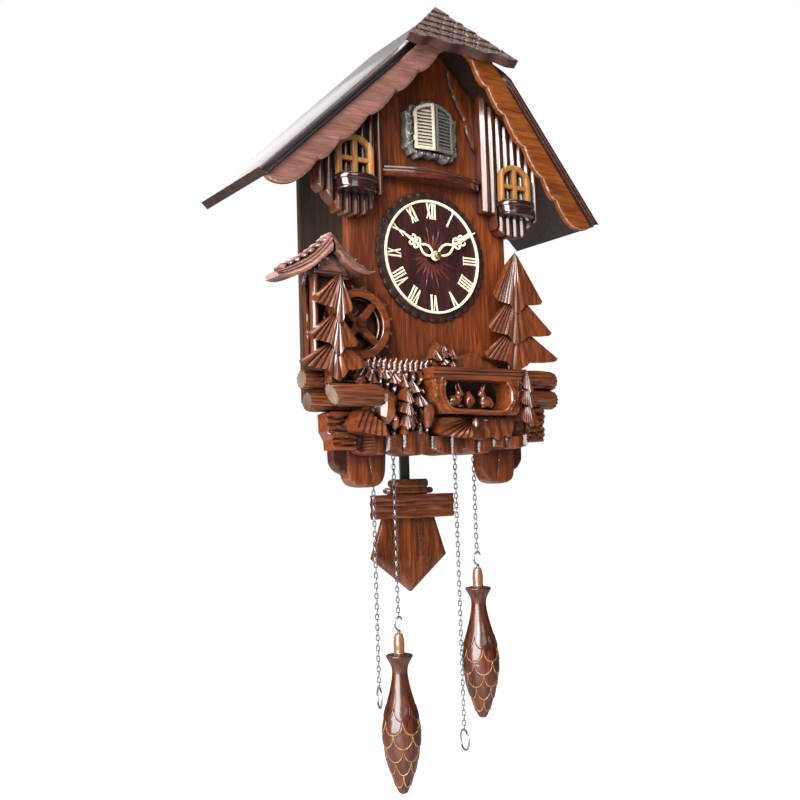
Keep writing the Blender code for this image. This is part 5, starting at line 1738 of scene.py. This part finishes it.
def chain(shell, x, low, high):
    """Oval links from low to high, each turned a quarter round from the last."""
    pitch, half_length, half_width, wire = 4.3, 2.65, 1.35, 0.45
    count = max(2, round((high - low - 2 * (half_length - pitch / 2)) / pitch))
    pitch = (high - low - 2 * (half_length + wire)) / (count - 1)
    for i in range(count):
        z = low + half_length + wire + pitch * i
        turn = math.radians(38) + math.pi / 2 * (i % 2)
        c, s = math.cos(turn), math.sin(turn)
        line = []
        for k in range(12):
            a = 2 * math.pi * k / 12
            u = half_width * math.cos(a)
            v = (half_length - half_width) * (1 if math.sin(a) > 0 else -1) * (abs(math.sin(a)) > 0.01)
            line.append((x + u * c, CHAIN_Y + u * s, z + v + half_width * math.sin(a)))
        tube(shell, line, wire, 6, closed=True)


def build_chains():
    """Both chains: a weight and its strand, and a pull ring and its strand."""
    for word, weight_x, ring_x, weight_top, ring_top, ring_turn in (
            ("left", -32.8, -53.8, -320.5, -362.6, 21.0), ("right", 53.8, 32.8, -271.5, -410.4, 13.0)):
        build_weight(word, weight_x, weight_top)
        shell = Shell()
        chain(shell, weight_x, weight_top + 11.8, 85.0)
        make(f"{word}_weight_links", shell, STEEL, body=f"{word}_weight", replaces=f"{word}_weight_chain",
             smooth=60)
        shell = Shell()
        chain(shell, ring_x, ring_top - 1.0, -50.0)
        turn = math.radians(ring_turn)
        ring = [(ring_x + PULL_RING * math.sin(a) * math.sin(turn),
                 CHAIN_Y + PULL_RING * math.sin(a) * math.cos(turn),
                 ring_top - 7.9 + PULL_RING * math.cos(a)) for a in (2 * math.pi * i / 48 for i in range(48))]
        tube(shell, ring, 0.9, 10, closed=True)
        make(f"{word}_ring_links", shell, STEEL, body=f"{word}_pull", replaces=f"{word}_ring_chain",
             smooth=60)


build_mill_backing()
build_mill_post()
build_mill_roof()
build_mill_gable()
build_wheel()
build_trees()
build_ground()
build_rocks()
build_folds()
build_plank_fans()
build_stump()
build_bush()
build_logs()
build_hollow_log()
build_rabbits()
build_legs()
build_pendulum_rod()
build_shield()
build_plank()
build_bird()
build_chains()


# ---------------------------------------------------------------------------------- CAD parts kept
KEPT = {"left_side": SIDE, "right_side": SIDE, "floor_board": PLYWOOD, "back_panel": BACK,
        "rear_door": PLYWOOD, "wall_hanger": STEEL, "movement": BLACK, "setting_knob": BLACK,
        "bird_carriage": BLACK, "left_chain_wheel": BRASS, "right_chain_wheel": BRASS, "mill_axle": DARK_RED}


def dress_cad():
    """Every CAD part gets a procedural material; the ones that a piece replaces stay hidden."""
    for name, node in frame["nodes"].items():
        material = KEPT.get(name, CARVED)
        if not node.material_slots:
            node.data.materials.append(material)
        for slot in node.material_slots:
            slot.material = material


dress_cad()


# ---------------------------------------------------------------------------------- stage
SEEN_WHITE = 1.0
ROOM_LIGHT = 0.10
FLOOR_DROP = 0.35
FLOOR_HALF = 6.0
MIDDLE = (0.0, -0.08, -0.15)
# Each softbox: its name, its place, what it aims at, its width and height, and its watts.
SOFTBOXES = (("key", (-1.5, -1.5, 1.1), MIDDLE, (0.9, 1.2), 56.0),
             ("left_wall", (-1.85, -0.83, 0.15), MIDDLE, (2.0, 1.8), 165.0),
             ("fill", (-0.2, -2.3, 0.9), MIDDLE, (0.9, 0.9), 13.0),
             ("top", (0.1, -0.2, 1.6), MIDDLE, (1.4, 1.0), 20.0),
             ("back_top", (-0.25, 1.5, 1.15), (0.0, 0.0, 0.15), (1.6, 1.2), 11.0))


def add_floor():
    """A plain pale floor, below the weights at the bottom of their travel."""
    low = CAD_BOX[0][2] - FLOOR_DROP
    mesh = bpy.data.meshes.new("floor")
    corners = [(-FLOOR_HALF, -FLOOR_HALF, low), (FLOOR_HALF, -FLOOR_HALF, low),
               (FLOOR_HALF, FLOOR_HALF, low), (-FLOOR_HALF, FLOOR_HALF, low)]
    mesh.from_pydata(corners, [], [(0, 1, 2, 3)])
    material, tree, shader = new_material("floor_paper")
    noise = add_node(tree, "ShaderNodeTexNoise", Scale=3.0, Detail=2.0)
    tint = ramp(tree, noise.outputs["Fac"], (0.0, (0.44, 0.43, 0.42)), (1.0, (0.48, 0.47, 0.46)))
    tree.links.new(tint, shader.inputs["Base Color"])
    shader.inputs["Roughness"].default_value = 0.9
    shader.inputs["Specular IOR Level"].default_value = 0.1
    rays = tree.nodes.new("ShaderNodeLightPath")
    shader.inputs["Emission Color"].default_value = (1.0, 1.0, 1.0, 1.0)
    tree.links.new(rays.outputs["Is Camera Ray"], shader.inputs["Emission Strength"])
    mesh.materials.append(material)
    floor = bpy.data.objects.new("floor", mesh)
    bpy.context.scene.collection.objects.link(floor)


def add_light(name, place, aim, size, power):
    data = bpy.data.lights.new(name, "AREA")
    data.shape = "RECTANGLE"
    data.size, data.size_y = size
    data.energy = power
    light = bpy.data.objects.new(name, data)
    light.location = place
    light.rotation_euler = (Vector(aim) - Vector(place)).to_track_quat("-Z", "Y").to_euler()
    bpy.context.scene.collection.objects.link(light)


def add_studio():
    """A white room seen by the camera, that lights the clock softly; the softboxes do most of the work."""
    room = bpy.data.worlds.new("studio")
    room.use_nodes = True
    tree = room.node_tree
    background = tree.nodes["Background"]
    background.inputs["Color"].default_value = (1.0, 1.0, 1.0, 1.0)
    rays = tree.nodes.new("ShaderNodeLightPath")
    strength = tree.nodes.new("ShaderNodeMapRange")
    strength.inputs["To Min"].default_value = ROOM_LIGHT
    strength.inputs["To Max"].default_value = SEEN_WHITE
    tree.links.new(rays.outputs["Is Camera Ray"], strength.inputs["Value"])
    tree.links.new(strength.outputs["Result"], background.inputs["Strength"])
    bpy.context.scene.world = room
    for softbox in SOFTBOXES:
        add_light(*softbox)
    bpy.context.scene.view_settings.view_transform = "Standard"


add_floor()
add_studio()
